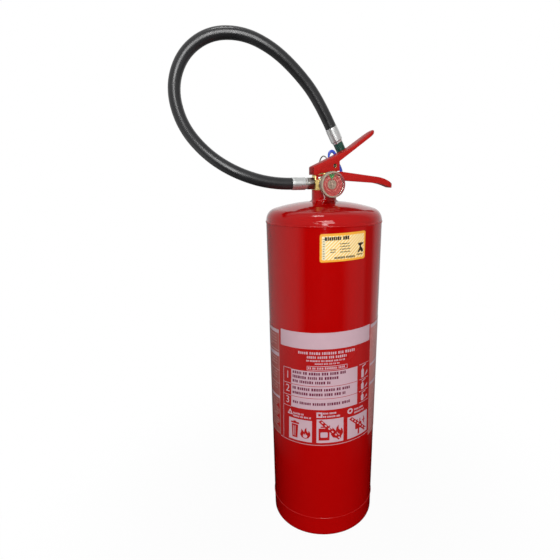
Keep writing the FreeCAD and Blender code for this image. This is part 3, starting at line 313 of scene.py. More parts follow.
def softened(name, node, rounding, sharp_degrees=30):
    """Piece with the shape of a CAD node whose hard edges are rounded."""
    bm = bmesh.new()
    bm.from_mesh(frame["nodes"][node].data)
    bmesh.ops.remove_doubles(bm, verts=bm.verts, dist=2e-6)
    bmesh.ops.dissolve_limit(bm, angle_limit=math.radians(0.6), verts=bm.verts, edges=bm.edges)
    piece = piece_from(bm, name, sharp_degrees)
    bevel = piece.modifiers.new("rounding", "BEVEL")
    bevel.width = rounding
    bevel.segments = 3
    bevel.limit_method = "ANGLE"
    bevel.angle_limit = math.radians(sharp_degrees)
    bevel.use_clamp_overlap = True
    bevel.harden_normals = False
    graph = bpy.context.evaluated_depsgraph_get()
    rounded = bpy.data.meshes.new_from_object(piece.evaluated_get(graph))
    piece.modifiers.clear()
    piece.data = rounded
    rounded.materials.clear()
    smooth(rounded, sharp_degrees + 15)
    return piece


# ----------------------------------------------------------------- materials
class ShaderTree:
    """Shader nodes of a material or a world, with helpers that add and link them."""

    def __init__(self, owner):
        owner.use_nodes = True
        self.owner, self.tree = owner, owner.node_tree
        self.tree.nodes.clear()

    def node(self, kind, inputs=(), **attributes):
        node = self.tree.nodes.new(kind)
        for attribute, value in attributes.items():
            setattr(node, attribute, value)
        for socket, value in dict(inputs).items():
            if isinstance(value, bpy.types.NodeSocket):
                self.tree.links.new(value, node.inputs[socket])
            else:
                node.inputs[socket].default_value = value
        return node

    def place(self, kind="Object"):
        return self.node("ShaderNodeTexCoord").outputs[kind]

    def calculated(self, operation, *values):
        return self.node("ShaderNodeMath", dict(enumerate(values)), operation=operation).outputs[0]

    def vector(self, operation, *values):
        return self.node("ShaderNodeVectorMath", dict(enumerate(values)), operation=operation)

    def spread(self, factor, low, high, start=0.35, end=0.65, **attributes):
        """Factor brought from the range start to end into low to high."""
        inputs = {"Value": factor, "From Min": start, "From Max": end, "To Min": low, "To Max": high}
        return self.node("ShaderNodeMapRange", inputs, **attributes).outputs["Result"]

    def blend(self, factor, first, second):
        """Colour between two colours or colour sockets."""
        first, second = [value if isinstance(value, bpy.types.NodeSocket) else (*value[:3], 1.0)
                         for value in (first, second)]
        return self.node("ShaderNodeMix", {0: factor, 6: first, 7: second}, data_type="RGBA").outputs[2]

    def layered(self, factor, first, second):
        """Shader between two shader nodes."""
        inputs = {0: factor, 1: first.outputs[0], 2: second.outputs[0]}
        return self.node("ShaderNodeMixShader", inputs)

    def rays(self, *kinds):
        """1 for rays of the named kinds, else 0."""
        path = self.node("ShaderNodeLightPath")
        total = path.outputs[kinds[0]]
        for kind in kinds[1:]:
            total = self.calculated("MAXIMUM", total, path.outputs[kind])
        return total


class Finish(ShaderTree):
    """A principled material whose patterns lie in the object's own coordinates."""

    def __init__(self, name, **sockets):
        super().__init__(bpy.data.materials.new(name))
        inputs = {socket.replace("_", " "): value for socket, value in sockets.items()}
        self.shader = self.node("ShaderNodeBsdfPrincipled", inputs)
        self.output = self.node("ShaderNodeOutputMaterial", {"Surface": self.shader.outputs["BSDF"]})
        self.here = self.place()

    def noise(self, scale, detail=3.0):
        inputs = {"Vector": self.here, "Scale": scale, "Detail": detail}
        return self.node("ShaderNodeTexNoise", inputs).outputs["Fac"]

    def set(self, socket, value):
        self.tree.links.new(value, self.shader.inputs[socket])

    def bump(self, height, strength, distance):
        """Fine relief. It ends a finish, and gives its material."""
        inputs = {"Height": height, "Strength": strength, "Distance": distance}
        self.set("Normal", self.node("ShaderNodeBump", inputs).outputs["Normal"])
        return self.owner


def scaled(colour_value, factor):
    return tuple(channel * factor for channel in colour_value)


# ------------------------------------------------------------------ finishes
def enamel(name, colour_value, roughness=0.08, peel=0.2, gloss=0.25):
    """Stoved gloss paint with a slight orange peel."""
    finish = Finish(name, Specular_IOR_Level=gloss)
    tone = finish.blend(finish.noise(7.0), scaled(colour_value, 0.93), scaled(colour_value, 1.05))
    fleck = finish.spread(finish.noise(900.0, 2.0), 0.0, 1.0, 0.62, 0.80)
    finish.set("Base Color", finish.blend(fleck, tone, scaled(colour_value, 0.80)))
    finish.set("Roughness", finish.spread(finish.noise(26.0), roughness * 0.75, roughness * 1.35))
    return finish.bump(finish.noise(420.0, 2.0), peel, 0.00002)


def metal(name, colour_value, roughness, depth=0.00001, tarnish=0.86, metallic=1.0, marked=0.25):
    """Bare or plated metal: depth and darkness of its fine marks, and tarnish in its dull patches."""
    finish = Finish(name, Metallic=metallic)
    marks = finish.noise(1500.0, 4.0)
    patches = finish.noise(110.0, 4.0)
    tone = finish.blend(finish.spread(patches, 0.0, 1.0), scaled(colour_value, tarnish), colour_value)
    finish.set("Base Color", finish.blend(finish.spread(marks, 0.0, marked), tone, scaled(colour_value, 0.7)))
    finish.set("Roughness", finish.spread(patches, roughness * 1.3, roughness * 0.8))
    return finish.bump(marks, 0.3, depth)


def plastic(name, colour_value, roughness, grain=900.0, depth=0.00001, variation=0.08):
    """Moulded plastic or rubber with a fine surface grain."""
    finish = Finish(name)
    dark, light = scaled(colour_value, 1 - variation), scaled(colour_value, 1 + variation)
    finish.set("Base Color", finish.blend(finish.noise(60.0), dark, light))
    finish.set("Roughness", finish.spread(finish.noise(140.0), roughness * 0.85, roughness * 1.2))
    return finish.bump(finish.noise(grain, 3.0), 0.35, depth)


def hose_rubber(name, colour_value):
    """Smooth black cover with a little dust, handled more in some places than in others."""
    finish = Finish(name)
    dust = finish.spread(finish.noise(22.0, 2.0), 0.0, 1.0, 0.45, 0.72)
    finish.set("Base Color", finish.blend(dust, colour_value, scaled(colour_value, 1.6)))
    finish.set("Roughness", finish.spread(finish.noise(60.0, 4.0), 0.26, 0.34))
    return finish.owner


def vinyl(name, colour_value, roughness=0.22, fade=0.05):
    """Printed film under a clear laminate that lies slightly wavy on the steel."""
    finish = Finish(name, Specular_IOR_Level=0.18)
    dark, light = scaled(colour_value, 1 - fade), scaled(colour_value, 1 + fade)
    tone = finish.blend(finish.noise(35.0, 4.0), dark, light)
    speckle = finish.spread(finish.noise(2600.0, 2.0), 0.0, 0.35, 0.55, 0.75)
    finish.set("Base Color", finish.blend(speckle, tone, scaled(colour_value, 0.86)))
    finish.set("Roughness", finish.spread(finish.noise(40.0), roughness * 0.8, roughness * 1.25))
    return finish.bump(finish.noise(70.0, 2.0), 0.25, 0.00006)


def hatched(name, ground, line, radius, pitch):
    """Sticker paper printed with slanting lines, set out along the curved surface."""
    finish = Finish(name)
    split = finish.node("ShaderNodeSeparateXYZ", {"Vector": finish.here}).outputs
    turn = finish.calculated("ARCTAN2", split["X"], finish.calculated("MULTIPLY", split["Y"], -1.0))
    around = finish.calculated("MULTIPLY", turn, -radius)
    across = finish.calculated("ADD", around, split["Z"])
    wave = finish.calculated("SINE", finish.calculated("MULTIPLY", across, 2 * math.pi / pitch))
    paper = finish.blend(finish.noise(45.0), scaled(ground, 0.95), scaled(ground, 1.05))
    finish.set("Base Color", finish.blend(finish.spread(wave, 0.0, 1.0, -0.2, 0.7), paper, line))
    finish.set("Roughness", finish.spread(finish.noise(60.0), 0.30, 0.42))
    return finish.bump(finish.noise(90.0, 2.0), 0.2, 0.00005)


def stained_rim(name, rim, stain):
    """Dull plastic rim, with the dial's red painted on its right side as a glow of light shining through it.
    """
    finish = Finish(name)
    across = finish.node("ShaderNodeSeparateXYZ", {"Vector": finish.here}).outputs["X"]
    low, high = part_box("gauge_bezel")
    # The painted red glow starts just right of the rim's middle, and is full at 0.85 of its width.
    start, end = low.x * 0.45 + high.x * 0.55, low.x * 0.15 + high.x * 0.85
    tone = finish.blend(finish.noise(90.0), scaled(rim, 0.88), scaled(rim, 1.12))
    # Painted glow: the dial's red laid over the rim's right side.
    finish.set("Base Color", finish.blend(finish.spread(across, 0.0, 1.0, start, end), tone, stain))
    finish.set("Roughness", finish.spread(finish.noise(140.0), 0.55, 0.68))
    return finish.bump(finish.noise(700.0), 0.35, 0.000008)


def clear_plastic(name):
    """Window of clear plastic with faint rub marks, which lets the room's light through to the dial."""
    finish = Finish(name, Base_Color=(0.97, 0.97, 0.95, 1.0), Transmission_Weight=1.0, IOR=1.32)
    finish.set("Roughness", finish.spread(finish.noise(300.0, 4.0), 0.03, 0.12))
    finish.bump(finish.noise(160.0), 0.1, 0.00001)
    passing = finish.rays("Is Shadow Ray", "Is Diffuse Ray")
    window = finish.layered(passing, finish.shader, finish.node("ShaderNodeBsdfTransparent"))
    finish.tree.links.new(window.outputs[0], finish.output.inputs["Surface"])
    return finish.owner


# ------------------------------------------------------------ printed sheets
def counterclockwise(outline):
    """Outline in the turning sense that the sheet's cutting needs."""
    area = sum(a[0] * b[1] - b[0] * a[1] for a, b in zip(outline, (*outline[1:], outline[0])))
    return outline if area > 0 else outline[::-1]


def rectangle(left, right, low, high):
    return [(left, low), (right, low), (right, high), (left, high)]


def rounded(left, right, low, high, corner, steps=5):
    """Rectangle with round corners."""
    points = []
    centres = ((right - corner, low + corner, -90), (right - corner, high - corner, 0),
               (left + corner, high - corner, 90), (left + corner, low + corner, 180))
    for u, v, start in centres:
        points += arc_points((u, v), corner, start, start + 90, steps)
    return points


def disc(u, v, radius, steps=24):
    return arc_points((u, v), radius, 0, 360 - 360 / steps, steps - 1)


def sector(inner, outer, start, end, steps):
    """Part of a ring about the origin, with angles in degrees clockwise from the top."""
    outside = arc_points((0, 0), outer, 90 - end, 90 - start, steps)
    inside = arc_points((0, 0), inner, 90 - end, 90 - start, steps)
    return outside + inside[::-1]


def figures(text, u, v, height):
    """Filled shapes of plain numbers, centred on (u, v)."""
    figure_share = 0.70     # height of a figure as a share of the font's size
    curve = bpy.data.curves.new("numbers", "FONT")
    curve.body = text
    curve.align_x = "CENTER"
    curve.align_y = "CENTER"
    curve.size = height / figure_share
    curve.resolution_u = 4
    writer = bpy.data.objects.new("numbers", curve)
    mesh = bpy.data.meshes.new_from_object(writer)
    shapes = []
    for face in mesh.polygons:
        shapes.append([(mesh.vertices[i].co.x + u, mesh.vertices[i].co.y + v) for i in face.vertices])
    bpy.data.objects.remove(writer)
    bpy.data.curves.remove(curve)
    bpy.data.meshes.remove(mesh)
    return shapes


def word_marks(left, right, level, height, draw, gap=0.2):
    """A line of print as upright dashes grouped in words, with gaps that are a share of their height."""
    shapes = []
    at = left
    while at < right - height * 0.4:
        for _ in range(draw.randint(2, 8)):
            width = height * draw.uniform(0.38, 0.66)
            if at + width > right:
                break
            top = height * draw.choice((0.5, 0.5, 0.42))
            shapes.append(rectangle(at, at + width, level - height * 0.5, level + top))
            at += width + height * gap
        at += height * 0.42
    return shapes


def printed(name, shapes, front, back, cuts=()):
    """Closed sheet made of overlapping shapes (outline, material index), the later ones on top.

    front and back turn a point (u, v), in millimetres, into a point of the sheet's two faces.
    """
    points, faces, edges = [], [], []
    for outline, _ in shapes:
        faces.append(list(range(len(points), len(points) + len(outline))))
        points += [Vector(point) for point in counterclockwise(outline)]
    for start, end in cuts:
        edges.append((len(points), len(points) + 1))
        points += [Vector(start), Vector(end)]
    flat, _, cells, _, _, sources = delaunay_2d_cdt(points, edges, faces, 1, 1e-4)
    bm = bmesh.new()
    fronts = [bm.verts.new(front(*point)) for point in flat]
    backs = [bm.verts.new(back(*point)) for point in flat]
    sides = {}
    for cell, source in zip(cells, sources):
        if 0 not in source:
            continue
        index = shapes[max(source)][1]
        bm.faces.new([fronts[i] for i in cell]).material_index = index
        bm.faces.new([backs[i] for i in reversed(cell)]).material_index = index
        for pair in zip(cell, (*cell[1:], cell[0])):
            if pair[::-1] in sides:
                del sides[pair[::-1]]
            else:
                sides[pair] = index
    for (first, second), index in sides.items():
        corners = (fronts[second], fronts[first], backs[first], backs[second])
        bm.faces.new(corners).material_index = index
    loose = [vertex for vertex in bm.verts if not vertex.link_faces]
    bmesh.ops.delete(bm, geom=loose, context="VERTS")
    mesh = bpy.data.meshes.new(name)
    bm.to_mesh(mesh)
    bm.free()
    return link(bpy.data.objects.new(name, mesh))


def round_normals(piece):
    """Shade a sheet that lies round the vessel as the smooth curve that it is."""
    mesh = piece.data
    mesh.shade_smooth()
    normals = [(0, 0, 0)] * len(mesh.loops)
    for face in mesh.polygons:
        for loop in face.loop_indices:
            place = mesh.vertices[mesh.loops[loop].vertex_index].co
            outward = Vector((place.x, place.y, 0)).normalized()
            facing = face.normal.dot(outward)
            normals[loop] = outward * (1 if facing > 0 else -1) if abs(facing) > 0.5 else face.normal
    mesh.normals_split_custom_set(normals)


LABEL_FOOT = 180.0          # height of the labels' foot in their layouts, in millimetres
GLUE = 0.00006              # thickness of the glue between the steel and a label's film
HATCH_PITCH = 0.0050        # distance between two of the sticker's slanting lines


class Label:
    """Flat layout of one label: shapes in millimetres about its centre line, with heights above the floor.

    foot is the height at which the layout has the CAD label's lower edge, if that is not its own.
    """

    def __init__(self, name, node, centre, lean, flare=0.0, foot=None):
        self.name, self.node = name, node
        low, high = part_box(node)
        self.lift = 0.0 if foot is None else low.z / MM - foot
        self.middle = (low.z + high.z) / 2 / MM - self.lift
        self.half = (high.z - low.z) / 2 / MM
        self.centre, self.lean, self.flare = centre, lean, flare
        self.shapes = []

    def add(self, outline, index):
        self.shapes.append((outline, index))

    def add_all(self, outlines, index):
        self.shapes += [(outline, index) for outline in outlines]

    def wrapped(self, radius, u, v):
        spread_out = 1 + self.flare * (self.middle - v) / self.half
        turn = self.centre + u * MM * spread_out / radius
        height = (v + self.lift) * MM + math.sin(self.lean) * u * MM
        return (radius * math.sin(turn), -radius * math.cos(turn), height)

    def build(self, film, radius, slot, materials, step=3.9):
        outline = self.shapes[0][0]
        across, heights = zip(*outline)
        left, right = min(across), max(across)
        low, high = min(heights) - 1, max(heights) + 1
        count = int((right - left) / step)
        cuts = []
        for line in range(1, count):
            u = left + (right - left) * line / count
            cuts.append(((u, low), (u, high)))
        inner = radius + GLUE
        piece = printed(self.name, self.shapes, lambda u, v: self.wrapped(inner + film, u, v),
                        lambda u, v: self.wrapped(inner, u, v), cuts)
        round_normals(piece)
        return finished(piece, self.node, slot, *materials)


# ------------------------------------------------- finishes of the record's slots
NYLON = (0.62, 0.60, 0.54)
CLIP_BLACK = (0.016, 0.016, 0.017)
CASE_METAL = (0.60, 0.58, 0.53)
DIAL_GROUND = (0.30, 0.21, 0.15)


def finish_for(slot):
    """Finish of one of the record's material slots, made when it is first asked for."""
    name = slot + "_finish"
    made = bpy.data.materials.get(name)
    if made:
        return made
    scene = bpy.context.scene
    hose, valve, gauge = scene.extinguisher_hose, scene.extinguisher_valve, scene.extinguisher_gauge
    makers = {
        "red_paint": lambda: enamel(name, scene.extinguisher_vessel.paint),
        "lever_paint": lambda: enamel(name, scene.extinguisher_grips.paint, 0.40, 0.1, 0.07),
        "valve_brass": lambda: metal(name, valve.brass, 0.32, tarnish=0.85, metallic=0.7),
        "plated_steel": lambda: metal(name, valve.steel, 0.26, depth=0.000006),
        "ferrule_alloy": lambda: metal(name, hose.ferrule, 0.32, depth=0.0, metallic=0.85, marked=0.0),
        "black_rubber": lambda: plastic(name, hose.rubber, 0.5),
        "nylon": lambda: plastic(name, NYLON, 0.4),
        "nozzle_green": lambda: plastic(name, hose.nozzle, 0.16, 500.0, 0.000006),
        "clip_black": lambda: plastic(name, CLIP_BLACK, 0.3),
        "seal_blue": lambda: plastic(name, scene.extinguisher_pin.seal, 0.22, 500.0, 0.000006),
        "gauge_metal": lambda: metal(name, CASE_METAL, 0.2, depth=0.000004),
        "bezel_plastic": lambda: stained_rim(name, gauge.rim, gauge.stain),
        "gauge_glass": lambda: clear_plastic(name),
        "dial_print": lambda: plastic(name, DIAL_GROUND, 0.35, variation=0.25),
        "needle_metal": lambda: metal(name, gauge.needle, 0.35, depth=0.000004),
        "label_film": lambda: vinyl(name, scene.extinguisher_labels.red),
    }
    return makers[slot]()


def slot_of(node):
    return node.data.materials[0].name


def soft_edged(name, node, rounding):
    """Rounded copy of a CAD node, in the finish of the node's own slot."""
    return finished(softened(name, node, rounding), node, slot_of(frame["nodes"][node]))


def middle(node):
    low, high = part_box(node)
    return (low + high) / 2


# --------------------------------------------------------------------- stage
# Brightness that gloss sees in directions counted in degrees from the camera's side, the right side positive.
ROOM_TONES = ((-180, 1.0), (-120, 0.80), (-70, 0.72), (-38, 0.60), (34, 0.55), (58, 0.60), (84, 0.55),
              (100, 0.45), (122, 0.80), (180, 1.0))
FLOOR_TONES = ((-180, 0.30), (-135, 0.37), (-113, 0.65), (-92, 0.86), (-75, 0.90), (-56, 0.78), (-36, 0.0),
               (34, 0.0), (50, 0.40), (65, 0.46), (81, 0.40), (90, 0.10), (106, 0.12), (118, 0.65),
               (142, 0.60), (180, 0.30))
# Key lamps: turn from the camera's side and rise in degrees, width and height in metres.
KEY_LAMPS = (("upper_strip", 5, 31, (0.90, 0.10)), ("left_panel", -1, 4, (0.36, 0.62)),
             ("right_strip", 15, 14, (0.08, 0.80)), ("ceiling_panel", 40, 79, (0.50, 0.40)))
WINDOW_TURN = -6
WINDOW_SIZE = (0.9, 1.2)
LAMP_DISTANCE = 2.4


def room_tone(tree, direction, settings, tones):
    """Brightness of the room or the floor in a direction, for the rays that gloss sends out."""
    side = (math.cos(settings.heading), -math.sin(settings.heading), 0.0)
    facing = (-math.sin(settings.heading), -math.cos(settings.heading), 0.0)
    shares = [tree.vector("DOT_PRODUCT", direction, way).outputs["Value"] for way in (side, facing)]
    turn = tree.spread(tree.calculated("ARCTAN2", *shares), 0.0, 1.0, -math.pi, math.pi)
    ramp = tree.node("ShaderNodeValToRGB", {"Fac": turn})
    elements = ramp.color_ramp.elements
    while len(elements) < len(tones):
        elements.new(0.5)
    for element, (degrees, tone) in zip(elements, tones):
        element.position = degrees / 360 + 0.5
        element.color = (*[tone * settings.gloss] * 3, 1.0)
    return ramp.outputs["Color"]


def add_room(settings):
    """Even light, tones for gloss, and a white backdrop for the camera."""
    room = ShaderTree(bpy.data.worlds.new("room"))
    tone = room_tone(room, room.place("Generated"), settings, ROOM_TONES)
    reflected = room.blend(room.rays("Is Glossy Ray"), [settings.fill] * 3, tone)
    backdrop = room.blend(room.rays("Is Camera Ray", "Is Transmission Ray"), reflected, [1.0] * 3)
    background = room.node("ShaderNodeBackground", {"Color": backdrop})
    room.node("ShaderNodeOutputWorld", {"Surface": background.outputs[0]})
    bpy.context.scene.world = room.owner


def floor_material(settings):
    """Pale matt floor that fades into the white backdrop and still takes the object's shadow."""
    floor = ShaderTree(bpy.data.materials.new("pale_floor"))
    place = floor.place()
    noise = floor.node("ShaderNodeTexNoise", {"Vector": place, "Scale": 30.0}).outputs["Fac"]
    matt = floor.node("ShaderNodeBsdfDiffuse", {"Color": floor.spread(noise, 0.50, 0.54, 0.0, 1.0)})
    distance = floor.vector("LENGTH", place).outputs["Value"]
    fade = floor.spread(distance, settings.floor_white, 1.0, settings.white_near, settings.white_far,
                        interpolation_type="SMOOTHSTEP")
    shown = floor.calculated("MULTIPLY", floor.rays("Is Camera Ray", "Is Transmission Ray"), fade)
    pale = floor.layered(shown, matt, floor.node("ShaderNodeEmission"))
    level = floor.vector("NORMALIZE", place).outputs["Vector"]
    strength = floor.spread(distance, 0.0, 1.0, settings.floor_near, settings.floor_far)
    tone = room_tone(floor, level, settings, FLOOR_TONES)
    mirrored = floor.node("ShaderNodeEmission", {"Color": tone, "Strength": strength})
    whole = floor.layered(floor.rays("Is Glossy Ray"), pale, mirrored)
    floor.node("ShaderNodeOutputMaterial", {"Surface": whole.outputs[0]})
    return floor.owner


def add_floor(settings):
    bm = bmesh.new()
    bmesh.ops.create_grid(bm, x_segments=24, y_segments=24, size=settings.floor_size / 2)
    floor = piece_from(bm, "floor")
    floor.data.materials.append(floor_material(settings))


def add_lamp(name, settings, turn, rise, size, power):
    """Rectangular lamp aimed at the object, turned from the camera's side and raised, in degrees."""
    lamp = bpy.data.lights.new(name, "AREA")
    lamp.shape = "RECTANGLE"
    lamp.size, lamp.size_y = size
    lamp.energy = power
    heading = settings.heading + math.radians(turn)
    away = Vector((-math.sin(heading), -math.cos(heading), math.tan(math.radians(rise)))).normalized()
    target = Vector((0, 0, settings.aim_height))
    holder = link(bpy.data.objects.new(name, lamp))
    holder.matrix_world = along(target + away * LAMP_DISTANCE, away)


def add_camera(settings):
    data = bpy.data.cameras.new("camera")
    data.sensor_width = 36
    data.lens = settings.focal
    data.shift_x, data.shift_y = settings.shift_x, settings.shift_y
    data.clip_end = 50
    camera = link(bpy.data.objects.new("camera", data))
    camera.matrix_world = (
        Matrix.Translation(settings.place)
        @ Matrix.Rotation(-settings.heading, 4, "Z")
        @ Matrix.Rotation(math.radians(90) - settings.pitch, 4, "X")
        @ Matrix.Rotation(settings.roll, 4, "Z")
    )
    bpy.context.scene.camera = camera


class EXTINGUISHER_OT_stage(bpy.types.Operator):
    """Set up the camera, the floor, the room's light and the lamps"""
    bl_idname = "extinguisher.stage"
    bl_label = "Stage"

    def execute(self, context):
        settings = context.scene.extinguisher_stage
        context.scene.view_settings.view_transform = "Standard"
        add_camera(settings)
        add_floor(settings)
        add_room(settings)
        window_rise = math.degrees(settings.window_rise)
        add_lamp("window_lamp", settings, WINDOW_TURN, window_rise, WINDOW_SIZE, settings.window)
        for name, turn, rise, size in KEY_LAMPS:
            add_lamp(name, settings, turn, rise, size, settings.key * size[0] * size[1])
        return {"FINISHED"}


# ---------------------------------------------------------------------- hose
# Points of the hose's line: across, back and above the outlet's axis, in millimetres.
HOSE_ROUTE = (
    (-51.6, 0, 0), (-82, 0, 0), (-133, 2, 15), (-173, 14, 41), (-202, 33, 80), (-210.5, 45, 129),
    (-193, 46.5, 172.5), (-156, 40, 199), (-110.5, 31, 201), (-69, 24.5, 183.5), (-31.5, 24.5, 154),
    (-0.5, 24.5, 119), (19.8, 24.5, 81),
)


def hose_points():
    outlet = middle("hose_nut").z
    return [Vector((x * MM, y * MM, outlet + rise * MM)) for x, y, rise in HOSE_ROUTE]


def ferrule(name, node, place):
    """Sleeve swaged on the hose's end by eight jaws, its round end at the hose."""
    settings = bpy.context.scene.extinguisher_hose
    end, radius = settings.sleeve_length, settings.sleeve / 2
    shoulder, band_start, band_end, run_in, jaws = 0.0028, 0.0031, end - 0.0044, 0.0006, 8
    flat, groove, collar, mouth = radius * 0.935, radius - 0.00035, radius * 0.87, radius * 0.73
    pressed_skin = radius - 0.0004
    corners = ((mouth, 0, 0.0001), (radius - 0.0001, 0, 0.0004), (radius, 0.0019, 0.0003),
               (groove, 0.0021, 0.0001), (groove, 0.0026, 0.0001), (radius, shoulder, 0.0002),
               (radius, end - 0.0037, 0.0004), (collar, end - 0.0029, 0.0004), (collar, end, 0.0006),
               (mouth, end, 0.0002))
    outline = []
    for point in eased(corners, 7):
        outline.append(point)
        # Two eased points lie between the shoulder and the band, so the band's rings go in twice.
        if abs(point[0] - radius) < 1e-5 and shoulder < point[1] < band_start:
            band = (band_start, band_start + run_in, band_end - run_in, band_end)
            outline += [(radius, height) for height in band]

    def pressed(turn, r, height):
        if r < pressed_skin or not band_start < height < band_end:
            return r
        local = turn % (2 * math.pi / jaws) - math.pi / jaws
        return min(r, flat / math.cos(local))

    piece = turned(name, outline, place, 192, shape=pressed)
    smooth(piece.data, 14)
    return finished(piece, node, "ferrule_alloy")


def nozzle(place):
    """Moulded nozzle: a straight barrel with a short cone at its mouth."""
    radius = bpy.context.scene.extinguisher_hose.barrel / 2
    end, cone_start, tip, bore = 0.0195, 0.0175, radius * 0.9, 0.003
    corners = ((bore, 0, 0.0001), (radius, 0, 0.0005), (radius, cone_start, 0.0010), (tip, end, 0.0006),
               (radius * 0.65, end, 0.0004), (bore, end - 0.003, 0.0004))
    piece = turned("spray_nozzle", eased(corners, 6), place)
    return finished(piece, "nozzle", "nozzle_green")


class EXTINGUISHER_OT_hose(bpy.types.Operator):
    """Lay the hose and put its ferrules, nut and nozzle on it"""
    bl_idname = "extinguisher.hose"
    bl_label = "Hose"

    def execute(self, context):
        settings = context.scene.extinguisher_hose
        points = hose_points()
        line, spline = round_line("rubber_hose", settings.diameter, points, 10, 20)
        line.use_fill_caps = True
        spline.use_endpoint_u = True
        hose = link(bpy.data.objects.new("rubber_hose", line))
        finished(hose, "hose", "black_rubber", hose_rubber("hose_cover", settings.rubber))
        ferrule("inlet_ferrule", "hose_ferrule", along(points[0], AXIS_X))
        way = (points[-1] - points[-2]).normalized()
        outlet_end = ferrule("outlet_ferrule", "nozzle_ferrule", along(points[-1], way))
        seam = 0.0001
        tip = nozzle(along(points[-1] + way * (settings.sleeve_length + seam), way))
        soft_edged("union_nut", "hose_nut", settings.nut_edge)
        return {"FINISHED"}


# -------------------------------------------------------------------- vessel
def weld_bead(name, node, centre, reach, proud, height, pitch, seed):
    """Ring weld under the paint, with the overlapping ripples that a turned weld leaves."""
    draw = random.Random(seed)
    ripples = int(2 * math.pi * reach / pitch)
    steps = 6               # faces along each ripple
    root = reach - 0.0006   # foot of the bead inside the wall
    bow = 3.0               # how far a ripple's ends trail behind its middle
    fullness = 0.7          # below 1 the ripples are broad and the valleys narrow
    dip = 0.38              # share of the bead's height lost in a valley
    waver = [draw.uniform(0.6, 1.2) for _ in range(ripples)]
    crown = [(reach + proud * r, centre + height / 2 * z) for r, z in arc_points((0, 0), 1.0, -90, 90, 10)]
    outline = [(root, centre - height / 2), *crown, (root, centre + height / 2)]

    def rippled(turn, radius, z):
        if radius <= reach:
            return radius
        along_weld = turn / (2 * math.pi) * ripples + bow * ((z - centre) / height) ** 2
        index = int(along_weld) % ripples
        crest = math.sin(math.pi * (along_weld % 1.0)) ** fullness
        return radius - (1 - crest) * waver[index] * (radius - reach) * dip

    piece = turned(name, outline, Matrix.Identity(4), ripples * steps, shape=rippled)
    return finished(piece, node, "red_paint")


def neck_fillet(reach):
    """Weld round the neck's foot, drawn up the neck in a hollow curve and slightly rippled."""
    low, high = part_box("neck_weld")
    toe, rise, climb, sunk = 0.0012, 0.0006, 0.0016, 0.0002
    ripples, depth = 23, 0.17
    foot, hollow = Vector((high.x + toe, low.z)), Vector((reach, low.z + rise))
    crown = Vector((reach, high.z + climb))
    outline = [(reach - sunk, low.z), *bent(foot, hollow, crown, 8)]

    def rippled(turn, radius, z):
        wave = math.sin(ripples * turn + 2.0 * math.sin(3 * turn))
        return radius + max(radius - reach, 0.0) * depth * wave

    piece = turned("neck_weld_fillet", outline, Matrix.Identity(4), 184, shape=rippled)
    return finished(piece, "neck_weld", "red_paint")


class EXTINGUISHER_OT_vessel(bpy.types.Operator):
    """Lay the vessel's ring welds, its neck ring and the weld at the neck's foot"""
    bl_idname = "extinguisher.vessel"
    bl_label = "Vessel"

    def execute(self, context):
        settings = context.scene.extinguisher_vessel
        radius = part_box("body_shell")[1].x
        for number, which in enumerate(("lower", "upper")):
            node = which + "_weld_bead"
            low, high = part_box(node)
            proud = high.x - radius + settings.bead_rise
            weld_bead(which + "_ring_weld", node, (low.z + high.z) / 2, radius, proud, high.z - low.z,
                      settings.ripple, number)
        soft_edged("neck_ring", "neck_collar", settings.neck_round)
        neck_fillet(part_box("neck_collar")[1].x)
        return {"FINISHED"}


# -------------------------------------------------------------------- labels
# Lower and upper edge of the front label's three rows, in millimetres.
STEP_ROWS = ((283.6, 308.8), (262.6, 282.8), (242.6, 261.8))


def front_label(settings, radius, materials):
    """Instruction label: a bare heading band, lines of print, three numbered rows and three pictures."""
    draw = random.Random(11)
    red, pale, ink = 0, 1, 2
    label = Label("instruction_label", "front_label", settings.front_turn, settings.lean, settings.flare,
                  LABEL_FOOT)
    label.add(rounded(-82.8, 82.6, 176.5, 371.5, 1.5), red)
    label.add(rectangle(-82.6, 81.5, 345.0, 371.3), pale)
    for left, right, height, size in ((-46, 48, 338.6, 4.2), (-31, 33, 332.0, 3.9), (-32, 30, 326.2, 2.8),
                                      (-18, 22, 321.4, 2.6)):
        label.add_all(word_marks(left, right, height, size, draw, 0.3), pale)
    label.add(rectangle(-31, 34, 310.3, 317.6), pale)
    label.add(rectangle(-30.2, 33.2, 311.1, 316.8), red)
    label.add_all(word_marks(-29, 32, 314, 3.4, draw, 0.3), pale)
    lines = (((-56, 34, 304.6), (-56, 20, 297.2), (-56, 7, 289.6)), ((-56, 39, 277.4), (-56, 36, 269.2)),
             ((-55, 41, 252.6),))
    for number, ((low, high), prints) in enumerate(zip(STEP_ROWS, lines), 1):
        label.add(rectangle(-58.6, 53.0, low, high), pale)
        for left, right, height in prints:
            label.add_all(word_marks(left, right, height, 4.8, draw), ink)
        label.add_all(figures(str(number), -66, (low + high) / 2 + 0.5, 12.5), pale)
        label.add(rectangle(-74.8, -58.6, low - 0.8, low), pale)
        label.add(rectangle(57.0, 79.0, low - 0.8, low), pale)
    label.add(rectangle(-75.6, -74.8, 181.0, 309.6), pale)
    label.add(rectangle(-75.6, -58.6, 308.8, 309.6), pale)
    label.add(rectangle(57.0, 79.0, 308.8, 309.6), pale)
    picture_details(label, pale, red)
    side_figures(label, pale)
    label.add(rectangle(-82.0, 81.8, 178.2, 179.0), pale)
    return label.build(settings.film, radius, "label_film", materials)


def flame(u, v, size):
    """Flame outline: a belly with three tongues."""
    tongues = ((0.0, -0.5), (0.30, -0.40), (0.46, -0.12), (0.42, 0.16), (0.30, 0.34), (0.26, 0.10),
               (0.12, 0.28), (0.10, 0.62), (-0.04, 0.40), (-0.10, 0.14), (-0.22, 0.30), (-0.34, 0.44),
               (-0.36, 0.16), (-0.46, -0.12), (-0.30, -0.40))
    return [(u + size * x, v + size * y) for x, y in tongues]


